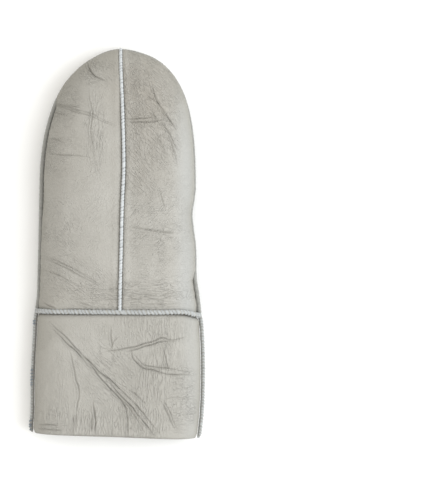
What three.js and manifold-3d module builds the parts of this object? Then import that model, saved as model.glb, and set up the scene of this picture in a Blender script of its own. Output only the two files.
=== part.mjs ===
// A left hand's mitten of double-face sheepskin, leather out and fleece in, sewn with overcast seams on the outside.
// It lies on a table with its back up and its thumb folded under the palm. Millimetres, +X to the thumb's side,
// +Y to the finger tips, +Z up. The origin is under the middle of its outline, on the table.

import * as THREE from "three";
import { mergeVertices } from "three/addons/utils/BufferGeometryUtils.js";
import Module from "manifold-3d";

// Outline, over the seams
const handLength = 188; // cuff seam to finger tip
const handWidth = 111; // where the rounded end begins
const domeLength = 101; // the rounded end's share of the hand's length
const leftRoundness = 2.14; // exponents of the rounded end: 2 is an ellipse, more is fuller
const rightRoundness = 2.64;
const cuffLength = 89.6; // cuff seam to hem
const cuffFlare = 13; // how much wider than the hand the cuff is
const seamSlant = 0.6; // how much further down the cuff seam lies at the thumb's side
const seamCurl = 2.6; // and how far its last bit dips there
const hemSlant = 4.3; // how much further down the hem lies at the thumb's side
const hemBow = 1.3; // the hem's middle lies this much higher than its corners
const hemCorner = 5; // radius of the cuff's lower corners

// Thickness as it lies, and the leather
const handThickness = 34;
const rimHeight = 12; // the side seams' height over the table
const wall = 2;
const hemThickness = 5; // the cuff's edge is turned in, so it is double
const hemDepth = 24;
const backSquareness = 3.8; // exponents of the section: 2 is an ellipse, more is flatter on top
const palmSquareness = 3.6;
const palmFlattening = 1.35; // over 1, the palm lies flat on the table in its middle
const valleyDepth = 1.6; // the back sinks along its centre seam
const valleyHalfWidth = 13;
const rollOut = 8; // above the cuff seam the palm rolls out past the side seam, on the thumb's side
const rollStart = 12; // it is full this far above the cuff seam
const rollEnd = 40; // and gone here

// Seams
const gap = 0.3; // between pieces
const sideBead = 1.55; // radii of the overcast seams
const centreBead = 1.45;
const cuffBead = 2.0;
const thumbBead = 1.15;

// Thumb, folded under the palm
const thumbWidth = 38;
const thumbThickness = 14;
const thumbReach = 50; // from the fork, at the front edge of the hole in the palm, to the tip
const thumbTipLength = 22; // the rounded part of that
const thumbHoleLength = 40; // the hole in the palm, along the hand
const thumbSlant = 11; // degrees, leaning to the middle of the palm
const thumbSide = 17; // the fork's place, right of the centre line
const thumbForkHeight = 70; // and above the cuff seam
const drapeMargin = 5; // the palm is level over the thumb and this far round it
const drapeLength = 52; // and comes down to the table over this length
const drapeGive = 0.45; // the share of the thumb's lift that the soft hand takes up
const seamRoom = 7; // the palm bends up over the cuff seam, which lies under it, this far each way

// Half widths of the hand from the cuff seam, at 0, to where the rounded end begins, at 1: shares of the hand's width
const handRows = [
  { at: 0.0, left: 0.546, right: 0.532, rise: 0.5 },
  { at: 0.05, left: 0.538, right: 0.526, rise: 0.54 },
  { at: 0.15, left: 0.53, right: 0.516, rise: 0.6 },
  { at: 0.28, left: 0.527, right: 0.5, rise: 0.64 },
  { at: 0.42, left: 0.524, right: 0.498, rise: 0.65 },
  { at: 0.55, left: 0.521, right: 0.494, rise: 0.65 },
  { at: 0.68, left: 0.519, right: 0.48, rise: 0.65 },
  { at: 0.8, left: 0.517, right: 0.473, rise: 0.65 },
  { at: 0.92, left: 0.515, right: 0.487, rise: 0.64 },
  { at: 1.0, left: 0.513, right: 0.494, rise: 0.64 },
];

// The cuff from the cuff seam, at 0, to the hem, at 1: shares of the cuff's width
const cuffRows = [
  { at: 0.08, left: 0.496, right: 0.485, rise: 0.54 },
  { at: 0.2, left: 0.5, right: 0.49, rise: 0.58 },
  { at: 0.4, left: 0.508, right: 0.494, rise: 0.6 },
  { at: 0.6, left: 0.512, right: 0.493, rise: 0.6 },
  { at: 0.8, left: 0.513, right: 0.486, rise: 0.6 },
  { at: 0.92, left: 0.519, right: 0.477, rise: 0.6 },
  { at: 1.0, left: 0.52, right: 0.47, rise: 0.6 },
];

// Where the centre seam wanders from the centre line: shares of the hand's length and width
const seamWander = [
  { at: 0.0, shift: 0.012 },
  { at: 0.2, shift: 0.021 },
  { at: 0.4, shift: 0.029 },
  { at: 0.55, shift: 0.039 },
  { at: 0.75, shift: 0.031 },
  { at: 0.9, shift: 0.016 },
  { at: 1.0, shift: 0.009 },
];

// Main creases of the cuff's back: ends as shares across, from the left rim, and up, from the hem
const cuffCreases = [
  { x0: 0.13, y0: 0.93, x1: 0.4, y1: 0.58, depth: 1.3, spread: 3.6 },
  { x0: 0.4, y0: 0.58, x1: 0.7, y1: 0.06, depth: 1.6, spread: 3.6 },
  { x0: 0.5, y0: 0.7, x1: 0.8, y1: 0.83, depth: 0.7, spread: 3.2 },
  { x0: 0.58, y0: 0.66, x1: 0.7, y1: 0.54, depth: 0.7, spread: 3.2 },
  { x0: 0.7, y0: 0.54, x1: 0.93, y1: 0.5, depth: 0.7, spread: 3.2 },
  { x0: 0.75, y0: 0.32, x1: 0.84, y1: 0.08, depth: 0.7, spread: 3.2 },
  { x0: 0.24, y0: 0.55, x1: 0.27, y1: 0.05, depth: 0.6, spread: 3.4 },
];

// Main creases of the hand's back: ends as shares of the hand's width from the centre line, and up from the cuff seam
const handCreases = [
  { x0: -0.27, y0: 0.93, x1: -0.12, y1: 0.87, depth: 0.8, spread: 3.2 },
  { x0: -0.44, y0: 0.79, x1: -0.08, y1: 0.73, depth: 0.7, spread: 3.2 },
  { x0: 0.24, y0: 0.83, x1: 0.36, y1: 0.6, depth: 0.8, spread: 3.4 },
  { x0: 0.06, y0: 0.73, x1: 0.26, y1: 0.72, depth: 0.6, spread: 3.0 },
  { x0: -0.4, y0: 0.25, x1: -0.12, y1: 0.13, depth: 0.6, spread: 3.4 },
  { x0: 0.1, y0: 0.35, x1: 0.38, y1: 0.29, depth: 0.5, spread: 3.4 },
];

const cuffWidth = handWidth + cuffFlare;
const straightLength = handLength - domeLength;
const sideReach = 2 * sideBead + gap; // the side seams stand out from the leather by this
const rightAngle = Math.PI / 2;
const lowestTurn = -straightLength / domeLength; // the hand's lengthwise parameter at the cuff seam
const thumbHalfWidth = thumbWidth / 2;
const holeHalfLength = thumbHoleLength / 2;
const collar = 2 * thumbBead + 2 * gap; // the thumb hangs this far under the palm, with its seam between
const thumbLift = thumbThickness + collar + gap;
const slantAngle = THREE.MathUtils.degToRad(thumbSlant);

// A smooth curve through a table's column
function along(rows, key, t) {
  const last = rows.length - 1;
  const at = THREE.MathUtils.clamp(t, rows[0].at, rows[last].at);
  let i = 0;
  while (i < last - 1 && at > rows[i + 1].at) i++;
  const slope = (k) => {
    const low = rows[Math.max(k - 1, 0)];
    const high = rows[Math.min(k + 1, last)];
    return (high[key] - low[key]) / (high.at - low.at);
  };
  const span = rows[i + 1].at - rows[i].at;
  const s = (at - rows[i].at) / span;
  const keep = (1 + 2 * s) * (1 - s) ** 2;
  return (
    rows[i][key] * keep +
    rows[i + 1][key] * (1 - keep) +
    slope(i) * span * s * (1 - s) ** 2 -
    slope(i + 1) * span * s * s * (1 - s)
  );
}

function ease(t) {
  const s = THREE.MathUtils.clamp(t, 0, 1);
  return s * s * (3 - 2 * s);
}

// The leather's rim, with the side seam outside it, at a height above the cuff seam, or below it for the cuff
function handHalfWidth(side, y) {
  const share = along(handRows, side, Math.max(y, 0) / straightLength);
  return share * handWidth - sideReach;
}

const cuffWidths = [
  {
    at: 0,
    left: handRows[0].left * handWidth,
    right: handRows[0].right * handWidth,
    rise: handRows[0].rise,
  },
  ...cuffRows.map((row) => ({
    at: row.at,
    left: row.left * cuffWidth,
    right: row.right * cuffWidth,
    rise: row.rise,
  })),
];

function cuffHalfWidth(side, depth) {
  const toHem = Math.max(hemCorner - (1 - depth) * cuffLength, 0);
  const corner = hemCorner - Math.sqrt(hemCorner ** 2 - toHem ** 2);
  return along(cuffWidths, side, depth) - corner - sideReach;
}

// How far the cuff seam and the hem lie below their level at a place across
const seamDip = (x) => seamSlant * (x / handWidth) + seamCurl * ((2 * Math.max(x, 0)) / handWidth) ** 8;
const hemDip = (x) => hemSlant * (x / handWidth) - hemBow * (1 - ((2 * x) / cuffWidth) ** 2);

const sideOf = (across) => (across < 0 ? "left" : "right");

// The thumb's frame: its fork in the hand's frame, turned by its slant
const thumbFork = new THREE.Vector2(thumbSide, thumbForkHeight);
function toThumb(x, y) {
  return new THREE.Vector2(x, y).sub(thumbFork).rotateAround(new THREE.Vector2(), -slantAngle);
}

// How far the thumb lifts the hand off the table at a place
function lift(x, y) {
  const p = toThumb(x, y);
  const tipCentre = thumbReach - thumbHalfWidth;
  const nearest = THREE.MathUtils.clamp(p.y, -holeHalfLength, tipCentre);
  const beyond = Math.hypot(p.x, p.y - nearest) - (thumbHalfWidth + 2 * thumbBead + 2 * gap + drapeMargin);
  return thumbLift * ease(1 - beyond / drapeLength);
}

// Swell of a section: 0 at its rim and 1 in its middle, where centring is the product of the two turns' cosines
function swell(centring, squareness) {
  return Math.sqrt(Math.max(0, 1 - (1 - centring ** 2) ** (squareness / 2)));
}

// A place on the hand from two turns: across, from -90 degrees at the left rim to 90 at the right, and lengthwise,
// from the cuff seam through 0, where the rounded end begins, to 90 degrees at its rim
function handPlace(across, lengthwise) {
  const a = Math.sin(across);
  const side = sideOf(across);
  const wander = (y) => along(seamWander, "shift", y / handLength) * handWidth * (1 - Math.abs(a)) ** 2;
  if (lengthwise < 0) {
    const height = straightLength + lengthwise * domeLength;
    const x = a * handHalfWidth(side, height) + wander(height);
    const dip = seamDip(x) * (1 - height / straightLength) ** 2;
    return { x, y: height - dip, centring: Math.cos(across) };
  }
  const b = Math.sin(lengthwise);
  const discX = a * Math.sqrt(1 - (b * b) / 2);
  const discY = b * Math.sqrt(1 - (a * a) / 2);
  const angle = Math.atan2(discY, Math.abs(discX));
  const n = side === "left" ? leftRoundness : rightRoundness;
  const reach = (Math.cos(angle) ** n + Math.sin(angle) ** n) ** (-1 / n);
  const y = straightLength + discY * reach * (domeLength - sideReach);
  const x = discX * reach * handHalfWidth(side, straightLength) + wander(y);
  return { x, y, centring: Math.cos(across) * Math.cos(lengthwise) };
}

// A place on the cuff: across as on the hand, and depth from 0 at the cuff seam to 1 at the hem
function cuffPlace(across, depth) {
  const side = sideOf(across);
  const x = Math.sin(across) * cuffHalfWidth(side, depth);
  const dip = (1 - depth) ** 2 * seamDip(x) + depth ** 2 * hemDip(x);
  return { x, y: -depth * cuffLength - dip, centring: Math.cos(across) };
}

function riseAt(place) {
  return place.y > 0
    ? along(handRows, "rise", place.y / straightLength) * handThickness
    : along(cuffWidths, "rise", -place.y / cuffLength) * handThickness;
}

function backPoint(place) {
  const s = swell(place.centring, backSquareness);
  const z = rimHeight + gap / 2 + riseAt(place) * s + lift(place.x, place.y) * (1 - drapeGive);
  return new THREE.Vector3(place.x, place.y, z);
}

// Height of the palm's rim
function rimAt(place) {
  return rimHeight - gap / 2 + lift(place.x, place.y) * (1 - drapeGive);
}

function palmHeight(place) {
  const s = swell(place.centring, palmSquareness);
  const curl = Math.max(0, 1 - palmFlattening * s) ** 1.5;
  const overThumb = lift(place.x, place.y);
  const overSeam = (2 * cuffBead + 3 * gap) * Math.exp(-((place.y / seamRoom) ** 2));
  const lowest = overThumb + overSeam * (1 - overThumb / thumbLift);
  return THREE.MathUtils.lerp(lowest, rimAt(place), curl);
}

// The hand's back, with the centre seam's valley, which closes towards both ends of the seam
function handBack(across, lengthwise) {
  const place = handPlace(across, lengthwise);
  const point = backPoint(place);
  const off = Math.sin(across) * handHalfWidth(sideOf(across), place.y);
  const ends = Math.cos(Math.max(lengthwise, 0)) * ease(place.y / valleyHalfWidth);
  point.z -= valleyDepth * ends * Math.exp(-((off / valleyHalfWidth) ** 2));
  return point;
}

// The hand's palm, which rolls out past the side seam near the cuff on the thumb's side
function handPalm(across, lengthwise) {
  const place = handPlace(across, lengthwise);
  const point = new THREE.Vector3(place.x, place.y, palmHeight(place));
  const near = ease(place.y / rollStart) * ease((rollEnd - place.y) / (rollEnd - rollStart));
  const outwards = Math.max(across, 0) / rightAngle;
  point.x += rollOut * near * Math.sin(Math.max(across, 0)) ** 2 * (1 - outwards ** 8) ** 3;
  return point;
}

function cuffBack(across, depth) {
  return backPoint(cuffPlace(across, depth));
}

function cuffPalm(across, depth) {
  const place = cuffPlace(across, depth);
  return new THREE.Vector3(place.x, place.y, palmHeight(place));
}

// Depth of the creases at a place, in a flat frame where their ends are given
function creaseDepth(creases, x, y, width, length) {
  let deepest = 0;
  for (const crease of creases) {
    const from = new THREE.Vector2(crease.x0 * width, crease.y0 * length);
    const way = new THREE.Vector2(crease.x1 * width, crease.y1 * length).sub(from);
    const to = new THREE.Vector2(x, y).sub(from);
    const t = THREE.MathUtils.clamp(to.dot(way) / way.lengthSq(), 0, 1);
    const off = to.addScaledVector(way, -t).length() / crease.spread;
    deepest = Math.max(deepest, crease.depth * Math.exp(-off * off));
  }
  return deepest;
}

const handRelief = (point) => creaseDepth(handCreases, point.x, point.y, handWidth, handLength);
const cuffRelief = (point) =>
  creaseDepth(cuffCreases, point.x + cuffWidth / 2, point.y + cuffLength, cuffWidth, cuffLength);

// Outward normal of a surface. It is taken a little inside the edges, where both ways of a rim's corner vanish.
function normalAt(surface, u, v, facing) {
  const step = 0.001;
  const inside = ([low, high], t) => THREE.MathUtils.clamp(t, low + 2 * step, high - 2 * step);
  const us = inside(surface.us, u);
  const vs = inside(surface.vs, v);
  const alongU = surface.at(us + step, vs).sub(surface.at(us - step, vs));
  const alongV = surface.at(us, vs + step).sub(surface.at(us, vs - step));
  return alongU.cross(alongV).normalize().multiplyScalar(facing);
}

// Merges equal corners and drops the triangles that have vanished at a pole
function closedGeometry(points, triangles) {
  const flat = points.flatMap((p) => [p.x, p.y, p.z]);
  const raw = new THREE.BufferGeometry();
  raw.setAttribute("position", new THREE.Float32BufferAttribute(flat, 3));
  raw.setIndex(triangles.flat());
  const merged = mergeVertices(raw, 1e-4);
  const index = merged.index.array;
  const kept = [];
  for (let i = 0; i < index.length; i += 3) {
    const [a, b, c] = [index[i], index[i + 1], index[i + 2]];
    if (a !== b && b !== c && c !== a) kept.push(a, b, c);
  }
  merged.setIndex(kept);
  merged.computeVertexNormals();
  return merged;
}

// A leather wall: the outer side is the surface less its creases, the inner side is moved in by the thickness.
// us and vs are the grid's parameters, and facing is 1 where u, v and the outward normal are right-handed.
function leather({ surface, us, vs, facing, relief = () => 0, thickness = () => wall, edge = () => 0 }) {
  const points = [];
  for (const outside of [true, false]) {
    for (const v of vs) {
      for (const u of us) {
        const point = surface.at(u, v);
        const normal = normalAt(surface, u, v, facing);
        const inwards = outside ? relief(point) + edge(v) : thickness(v) - edge(v);
        points.push(point.addScaledVector(normal, -inwards));
      }
    }
  }
  const across = us.length;
  const layer = across * vs.length;
  const outer = (i, j) => j * across + i;
  const inner = (i, j) => layer + j * across + i;
  const triangles = [];
  const quad = (a, b, c, d) => {
    const turned = facing > 0 ? [a, b, c, d] : [d, c, b, a];
    triangles.push([turned[0], turned[1], turned[2]], [turned[0], turned[2], turned[3]]);
  };
  const lastU = across - 1;
  const lastV = vs.length - 1;
  for (let j = 0; j < lastV; j++) {
    for (let i = 0; i < lastU; i++) {
      quad(outer(i, j), outer(i + 1, j), outer(i + 1, j + 1), outer(i, j + 1));
      quad(inner(i, j + 1), inner(i + 1, j + 1), inner(i + 1, j), inner(i, j));
    }
    quad(outer(0, j), outer(0, j + 1), inner(0, j + 1), inner(0, j));
    quad(outer(lastU, j + 1), outer(lastU, j), inner(lastU, j), inner(lastU, j + 1));
  }
  for (let i = 0; i < lastU; i++) {
    quad(outer(i + 1, 0), outer(i, 0), inner(i, 0), inner(i + 1, 0));
    quad(outer(i, lastV), outer(i + 1, lastV), inner(i + 1, lastV), inner(i, lastV));
  }
  return closedGeometry(points, triangles);
}

const spread = (from, to, count) =>
  Array.from({ length: count + 1 }, (_, i) => THREE.MathUtils.lerp(from, to, i / count));

// An overcast seam: a round bead along a curve through the points, closed on itself or with flat ends
function bead(points, radius, step, closed = false) {
  const curve = new THREE.CatmullRomCurve3(points, closed, "centripetal");
  const rings = Math.round(curve.getLength() / step);
  const sides = 6;
  const frames = curve.computeFrenetFrames(rings, closed);
  const corners = [];
  const ringCount = closed ? rings : rings + 1;
  for (let k = 0; k < ringCount; k++) {
    const centre = curve.getPointAt(k / rings);
    for (let s = 0; s < sides; s++) {
      const angle = (2 * Math.PI * s) / sides;
      corners.push(
        centre
          .clone()
          .addScaledVector(frames.normals[k], radius * Math.cos(angle))
          .addScaledVector(frames.binormals[k], radius * Math.sin(angle)),
      );
    }
  }
  const triangles = [];
  const corner = (k, s) => (k % ringCount) * sides + (s % sides);
  for (let k = 0; k < rings; k++) {
    for (let s = 0; s < sides; s++) {
      triangles.push([corner(k, s), corner(k, s + 1), corner(k + 1, s + 1)]);
      triangles.push([corner(k, s), corner(k + 1, s + 1), corner(k + 1, s)]);
    }
  }
  if (!closed) {
    for (let s = 1; s < sides - 1; s++) {
      triangles.push([corner(0, 0), corner(0, s + 1), corner(0, s)]);
      triangles.push([corner(rings, 0), corner(rings, s), corner(rings, s + 1)]);
    }
  }
  return closedGeometry(corners, triangles);
}

// Points moved sideways, away from the hand in plan, off a line that runs round it clockwise seen from above
function movedOut(line, distance) {
  return line.map((point, i) => {
    const before = line[Math.max(i - 1, 0)];
    const after = line[Math.min(i + 1, line.length - 1)];
    const out = new THREE.Vector3(before.y - after.y, after.x - before.x, 0).normalize();
    return point.clone().addScaledVector(out, distance);
  });
}

const surfaces = {
  handBack: { at: handBack, us: [-rightAngle, rightAngle], vs: [lowestTurn, rightAngle] },
  handPalm: { at: handPalm, us: [-rightAngle, rightAngle], vs: [lowestTurn, rightAngle] },
  cuffBack: { at: cuffBack, us: [-rightAngle, rightAngle], vs: [0, 1] },
  cuffPalm: { at: cuffPalm, us: [-rightAngle, rightAngle], vs: [0, 1] },
};

const leatherFinish = new THREE.MeshStandardMaterial({ color: 0xb8b5ad, roughness: 0.6, metalness: 0 });
const threadFinish = new THREE.MeshStandardMaterial({ color: 0xdcdedd, roughness: 0.85, metalness: 0 });

function named(name, geometry, material) {
  const mesh = new THREE.Mesh(geometry, material);
  mesh.name = name;
  return mesh;
}

const handRowsAt = [
  ...spread(lowestTurn + gap / domeLength, 0, 12).slice(0, -1),
  ...spread(0, rightAngle, 14),
];

function backPanel(name, from, to, shift) {
  const geometry = leather({
    surface: surfaces.handBack,
    us: spread(from, to, 9),
    vs: handRowsAt,
    facing: 1,
    relief: handRelief,
  });
  geometry.translate(shift, 0, 0);
  return named(name, geometry, leatherFinish);
}

const wasm = await Module();
wasm.setup();

function solid(geometry) {
  const bare = new THREE.BufferGeometry();
  bare.setAttribute("position", geometry.getAttribute("position"));
  bare.setIndex(geometry.index);
  const merged = mergeVertices(bare, 1e-4);
  return new wasm.Manifold(
    new wasm.Mesh({
      numProp: 3,
      vertProperties: merged.attributes.position.array,
      triVerts: new Uint32Array(merged.index.array),
    }),
  );
}

function geometryOf(manifold) {
  const mesh = manifold.getMesh();
  const geometry = new THREE.BufferGeometry();
  geometry.setAttribute("position", new THREE.Float32BufferAttribute(mesh.vertProperties, 3));
  geometry.setIndex(Array.from(mesh.triVerts));
  geometry.computeVertexNormals();
  return geometry;
}

// The palm's hole is as large as the inside of the thumb's mouth
function palmPanel() {
  const degrees = [-90, -84, -76, ...spread(-66, 66, 12), 76, 84, 90];
  const whole = leather({
    surface: surfaces.handPalm,
    us: degrees.map(THREE.MathUtils.degToRad),
    vs: handRowsAt,
    facing: -1,
  });
  const outline = new THREE.Shape();
  outline.absellipse(0, -holeHalfLength, thumbHalfWidth - wall, holeHalfLength - wall, 0, 2 * Math.PI);
  const depth = 2 * thumbLift;
  const cutter = new THREE.ExtrudeGeometry(outline, { depth, bevelEnabled: false, curveSegments: 24 });
  cutter.deleteAttribute("normal");
  cutter.deleteAttribute("uv");
  cutter.rotateZ(slantAngle);
  cutter.translate(thumbFork.x, thumbFork.y, 0);
  return named("palm", geometryOf(solid(whole).subtract(solid(mergeVertices(cutter, 1e-4)))), leatherFinish);
}

// The thumb in its own frame, with its fork at the origin in plan. Its mouth hangs from the palm in a short collar,
// then its sections turn about the fork, from level to upright, and run on to the rounded tip.
const thumbTurnEnd = 0.5; // of the lengthwise parameter, from 0 at the palm to 1 at the tip
const collarEnd = 0.12;

function palmAbove(x, y) {
  const p = new THREE.Vector2(x, y).rotateAround(new THREE.Vector2(), slantAngle).add(thumbFork);
  const across = Math.asin(THREE.MathUtils.clamp(p.x / handHalfWidth(sideOf(p.x), p.y), -1, 1));
  return palmHeight({ x: p.x, y: p.y, centring: Math.cos(across) }) - gap;
}

function thumbPoint(round, lengthwise, apart = 0) {
  const halfHeight = thumbThickness / 2;
  if (lengthwise < thumbTurnEnd) {
    const turn = ease((lengthwise - collarEnd) / (thumbTurnEnd - collarEnd)) * rightAngle;
    const reach = 1 / Math.hypot(Math.cos(turn) / holeHalfLength, Math.sin(turn) / halfHeight);
    const up = reach * (Math.sin(round) - 1) + apart;
    const point = new THREE.Vector3(
      thumbHalfWidth * Math.cos(round),
      up * Math.cos(turn),
      thumbThickness + up * Math.sin(turn),
    );
    if (lengthwise < collarEnd) {
      point.z = THREE.MathUtils.lerp(palmAbove(point.x, point.y), thumbThickness, lengthwise / collarEnd);
    }
    return point;
  }
  const on = (lengthwise - thumbTurnEnd) / (1 - thumbTurnEnd);
  const tipStart = thumbReach - thumbTipLength;
  const straightShare = 0.5;
  const tipTurn = (Math.max(on - straightShare, 0) / (1 - straightShare)) * rightAngle;
  const forward = Math.min(on / straightShare, 1) * tipStart + thumbTipLength * Math.sin(tipTurn);
  const size = Math.cos(tipTurn);
  const z = halfHeight * (1 + size * Math.sin(round)) + apart;
  return new THREE.Vector3(thumbHalfWidth * size * Math.cos(round), forward, z);
}

// One half of the thumb, lowered on the table to lie flat there, and moved off the other half by the gap
function thumbPanel(name, from, to, apart) {
  const flatter = 1.06;
  const at = (round, lengthwise) => {
    const point = thumbPoint(round, lengthwise, apart);
    if (lengthwise >= collarEnd) {
      const middle = thumbThickness / 2;
      point.z = Math.max(middle + (point.z - middle) * flatter, 0);
      point.z = Math.min(point.z, thumbThickness);
    }
    return point;
  };
  const geometry = leather({
    surface: { at, us: [from, to], vs: [0, 1] },
    us: spread(from, to, 9),
    vs: [0, ...spread(collarEnd, thumbTurnEnd, 7), ...spread(thumbTurnEnd, 1, 10).slice(1)],
    facing: -1,
  });
  return named(name, geometry, leatherFinish);
}

const hand = new THREE.Group();
hand.add(backPanel("back_left", -rightAngle, 0, -gap / 2));
hand.add(backPanel("back_right", 0, rightAngle, gap / 2));
hand.add(palmPanel());

const cuff = new THREE.Group();
const hemEdge = hemThickness / 2;
const hemTop = 1 - hemDepth / cuffLength;
const hemRows = [hemEdge, 0.7, 0].map((distance) => 1 - distance / cuffLength);
const cuffDepths = [
  ...spread(gap / cuffLength, hemTop - 1 / cuffLength, 11),
  ...spread(hemTop, hemRows[0], 4).slice(0, -1),
  ...hemRows,
];
const cuffWall = (depth) => (depth > hemTop - 1e-6 ? hemThickness : wall);
const roundedHem = (depth) => {
  const past = Math.max(hemEdge - (1 - depth) * cuffLength, 0);
  return (hemEdge - Math.sqrt(hemEdge ** 2 - past ** 2)) * 0.85;
};
for (const [name, surface, facing, columns, relief] of [
  ["cuff_back", surfaces.cuffBack, -1, 22, cuffRelief],
  ["cuff_palm", surfaces.cuffPalm, 1, 16, () => 0],
]) {
  const geometry = leather({
    surface,
    us: spread(-rightAngle, rightAngle, columns),
    vs: cuffDepths,
    facing,
    relief,
    thickness: cuffWall,
    edge: roundedHem,
  });
  cuff.add(named(name, geometry, leatherFinish));
}

// Seams. Each bead lies outside the joint of two leather edges.
const seams = new THREE.Group();
const seamStart = lowestTurn + (cuffBead + 2 * gap) / domeLength;

const centreLine = spread(seamStart, rightAngle * 0.95, 24).map((turn) =>
  handBack(0, turn).addScaledVector(normalAt(surfaces.handBack, 0, turn, 1), centreBead + gap),
);
seams.add(named("centre_seam", bead(centreLine, centreBead, 6), threadFinish));

const rimLine = [
  ...spread(seamStart, rightAngle, 40).map((turn) => handPlace(-rightAngle, turn)),
  ...spread(-rightAngle, rightAngle, 30).slice(1, -1).map((turn) => handPlace(turn, rightAngle)),
  ...spread(rightAngle, seamStart, 40).map((turn) => handPlace(rightAngle, turn)),
].map((place) => new THREE.Vector3(place.x, place.y, rimAt(place) + gap / 2));
seams.add(named("side_seam", bead(movedOut(rimLine, sideBead + gap), sideBead, 7), threadFinish));

for (const [name, across, side] of [
  ["cuff_left_seam", -rightAngle, 1],
  ["cuff_right_seam", rightAngle, -1],
]) {
  const cornerTop = 1 - hemCorner / cuffLength;
  const depths = [
    ...spread(1 - hemEdge / cuffLength, cornerTop, 4),
    ...spread(cornerTop, (cuffBead + 2 * gap) / cuffLength, 20).slice(1),
  ];
  const line = depths.map((depth) => {
    const place = cuffPlace(across, depth);
    return new THREE.Vector3(place.x, place.y, rimAt(place) + gap / 2);
  });
  const rising = side > 0 ? line : line.reverse();
  seams.add(named(name, bead(movedOut(rising, sideBead + gap), sideBead, 4), threadFinish));
}

const aroundTurns = spread(-rightAngle, rightAngle, 22);
const beside = (onHand, onCuff, turn, facing) => {
  const normal = normalAt(onHand, turn, lowestTurn, facing).add(normalAt(onCuff, turn, 0, -facing));
  return onCuff.at(turn, 0).addScaledVector(normal.normalize(), cuffBead + 1.8 * gap);
};
const aroundLine = [
  ...aroundTurns.map((turn) => beside(surfaces.handBack, surfaces.cuffBack, turn, 1)),
  ...aroundTurns.slice(1, -1).map((turn) => beside(surfaces.handPalm, surfaces.cuffPalm, -turn, -1)),
];
seams.add(named("cuff_seam", bead(aroundLine, cuffBead, 6, true), threadFinish));

const thumb = new THREE.Group();
thumb.add(thumbPanel("thumb_inner", 0, Math.PI, gap / 2));
thumb.add(thumbPanel("thumb_outer", Math.PI, 2 * Math.PI, -gap / 2));

const thumbSides = [
  ...spread(collarEnd * 1.5, 1, 24).map((t) => thumbPoint(Math.PI, t)),
  ...spread(1, collarEnd * 1.5, 24).slice(1).map((t) => thumbPoint(0, t)),
];
thumb.add(named("thumb_seam", bead(movedOut(thumbSides, thumbBead + gap), thumbBead, 5), threadFinish));

const mouthReach = thumbBead + 1.5 * gap;
const mouthLine = spread(0, 2 * Math.PI, 36).slice(1).map((round) => {
  const x = (thumbHalfWidth + mouthReach) * Math.cos(round);
  const y = (holeHalfLength + mouthReach) * Math.sin(round) - holeHalfLength;
  return new THREE.Vector3(x, y, palmAbove(x, y) - thumbBead);
});
thumb.add(named("thumb_base_seam", bead(mouthLine, thumbBead, 4, true), threadFinish));
thumb.position.set(thumbFork.x, thumbFork.y, 0);
thumb.rotation.z = slantAngle;

const mitten = new THREE.Group();
mitten.add(hand, cuff, thumb, seams);
mitten.updateMatrixWorld(true);
const box = new THREE.Box3().setFromObject(mitten, true);
mitten.position.set(-(box.min.x + box.max.x) / 2, -(box.min.y + box.max.y) / 2, -box.min.z);

export default mitten;
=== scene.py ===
"""Looks of a left hand's sheepskin mitten, leather out and fleece in, with overcast seams, on a pale floor.

Lengths are millimetres in the mitten's own frame, as in the part's source. Its origin is where the cuff
seam crosses the centre line, +X is the thumb's side, +Y the finger tips and +Z up. Meshes are made in metres
in the row frame.
"""

import math

import bpy
import numpy as np
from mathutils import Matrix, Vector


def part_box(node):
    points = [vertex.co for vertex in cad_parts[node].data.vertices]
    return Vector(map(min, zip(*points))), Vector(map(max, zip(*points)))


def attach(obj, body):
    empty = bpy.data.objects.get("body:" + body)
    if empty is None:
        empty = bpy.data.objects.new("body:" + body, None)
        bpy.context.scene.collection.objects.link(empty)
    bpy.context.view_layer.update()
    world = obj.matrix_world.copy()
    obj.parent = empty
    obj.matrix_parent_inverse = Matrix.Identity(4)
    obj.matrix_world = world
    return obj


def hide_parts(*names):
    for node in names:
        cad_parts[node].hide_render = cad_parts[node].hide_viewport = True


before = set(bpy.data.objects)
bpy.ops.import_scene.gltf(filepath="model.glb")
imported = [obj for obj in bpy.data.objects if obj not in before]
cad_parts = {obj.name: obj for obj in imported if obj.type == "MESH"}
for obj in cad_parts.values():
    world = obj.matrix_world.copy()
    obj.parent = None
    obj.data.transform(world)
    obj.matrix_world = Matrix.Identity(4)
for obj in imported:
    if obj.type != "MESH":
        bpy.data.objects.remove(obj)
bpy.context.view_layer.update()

# Outline, over the seams
HAND_LENGTH = 188.0
HAND_WIDTH = 111.0
DOME_LENGTH = 101.0
LEFT_ROUNDNESS = 2.14
RIGHT_ROUNDNESS = 2.64
CUFF_LENGTH = 89.6
CUFF_WIDTH = HAND_WIDTH + 13.0
SEAM_SLANT = 0.6
SEAM_CURL = 2.6
HEM_SLANT = 4.3
HEM_BOW = 1.3
HEM_CORNER = 5.0

# Thickness as it lies, and the leather
HAND_THICKNESS = 34.0
RIM_HEIGHT = 12.0
WALL = 2.0
HEM_THICKNESS = 5.0
HEM_DEPTH = 24.0
BACK_SQUARENESS = 3.8
PALM_SQUARENESS = 3.6
PALM_FLATTENING = 1.35
VALLEY_DEPTH = 1.6
VALLEY_HALF_WIDTH = 13.0
ROLL_OUT = 8.0
ROLL_START = 12.0
ROLL_END = 40.0

# Seams
GAP = 0.3
SIDE_BEAD = 1.55
CUFF_BEAD = 2.0
THUMB_BEAD = 1.15

# Thumb
THUMB_HALF_WIDTH = 19.0
THUMB_THICKNESS = 14.0
THUMB_REACH = 50.0
THUMB_TIP_LENGTH = 22.0
THUMB_FLATTENING = 1.06
HOLE_HALF_LENGTH = 20.0
THUMB_SLANT = math.radians(11)
SLANT_COS, SLANT_SIN = math.cos(THUMB_SLANT), math.sin(THUMB_SLANT)
THUMB_FORK = (17.0, 70.0)
DRAPE_MARGIN = 5.0
DRAPE_LENGTH = 52.0
DRAPE_GIVE = 0.45
SEAM_ROOM = 7.0

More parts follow.
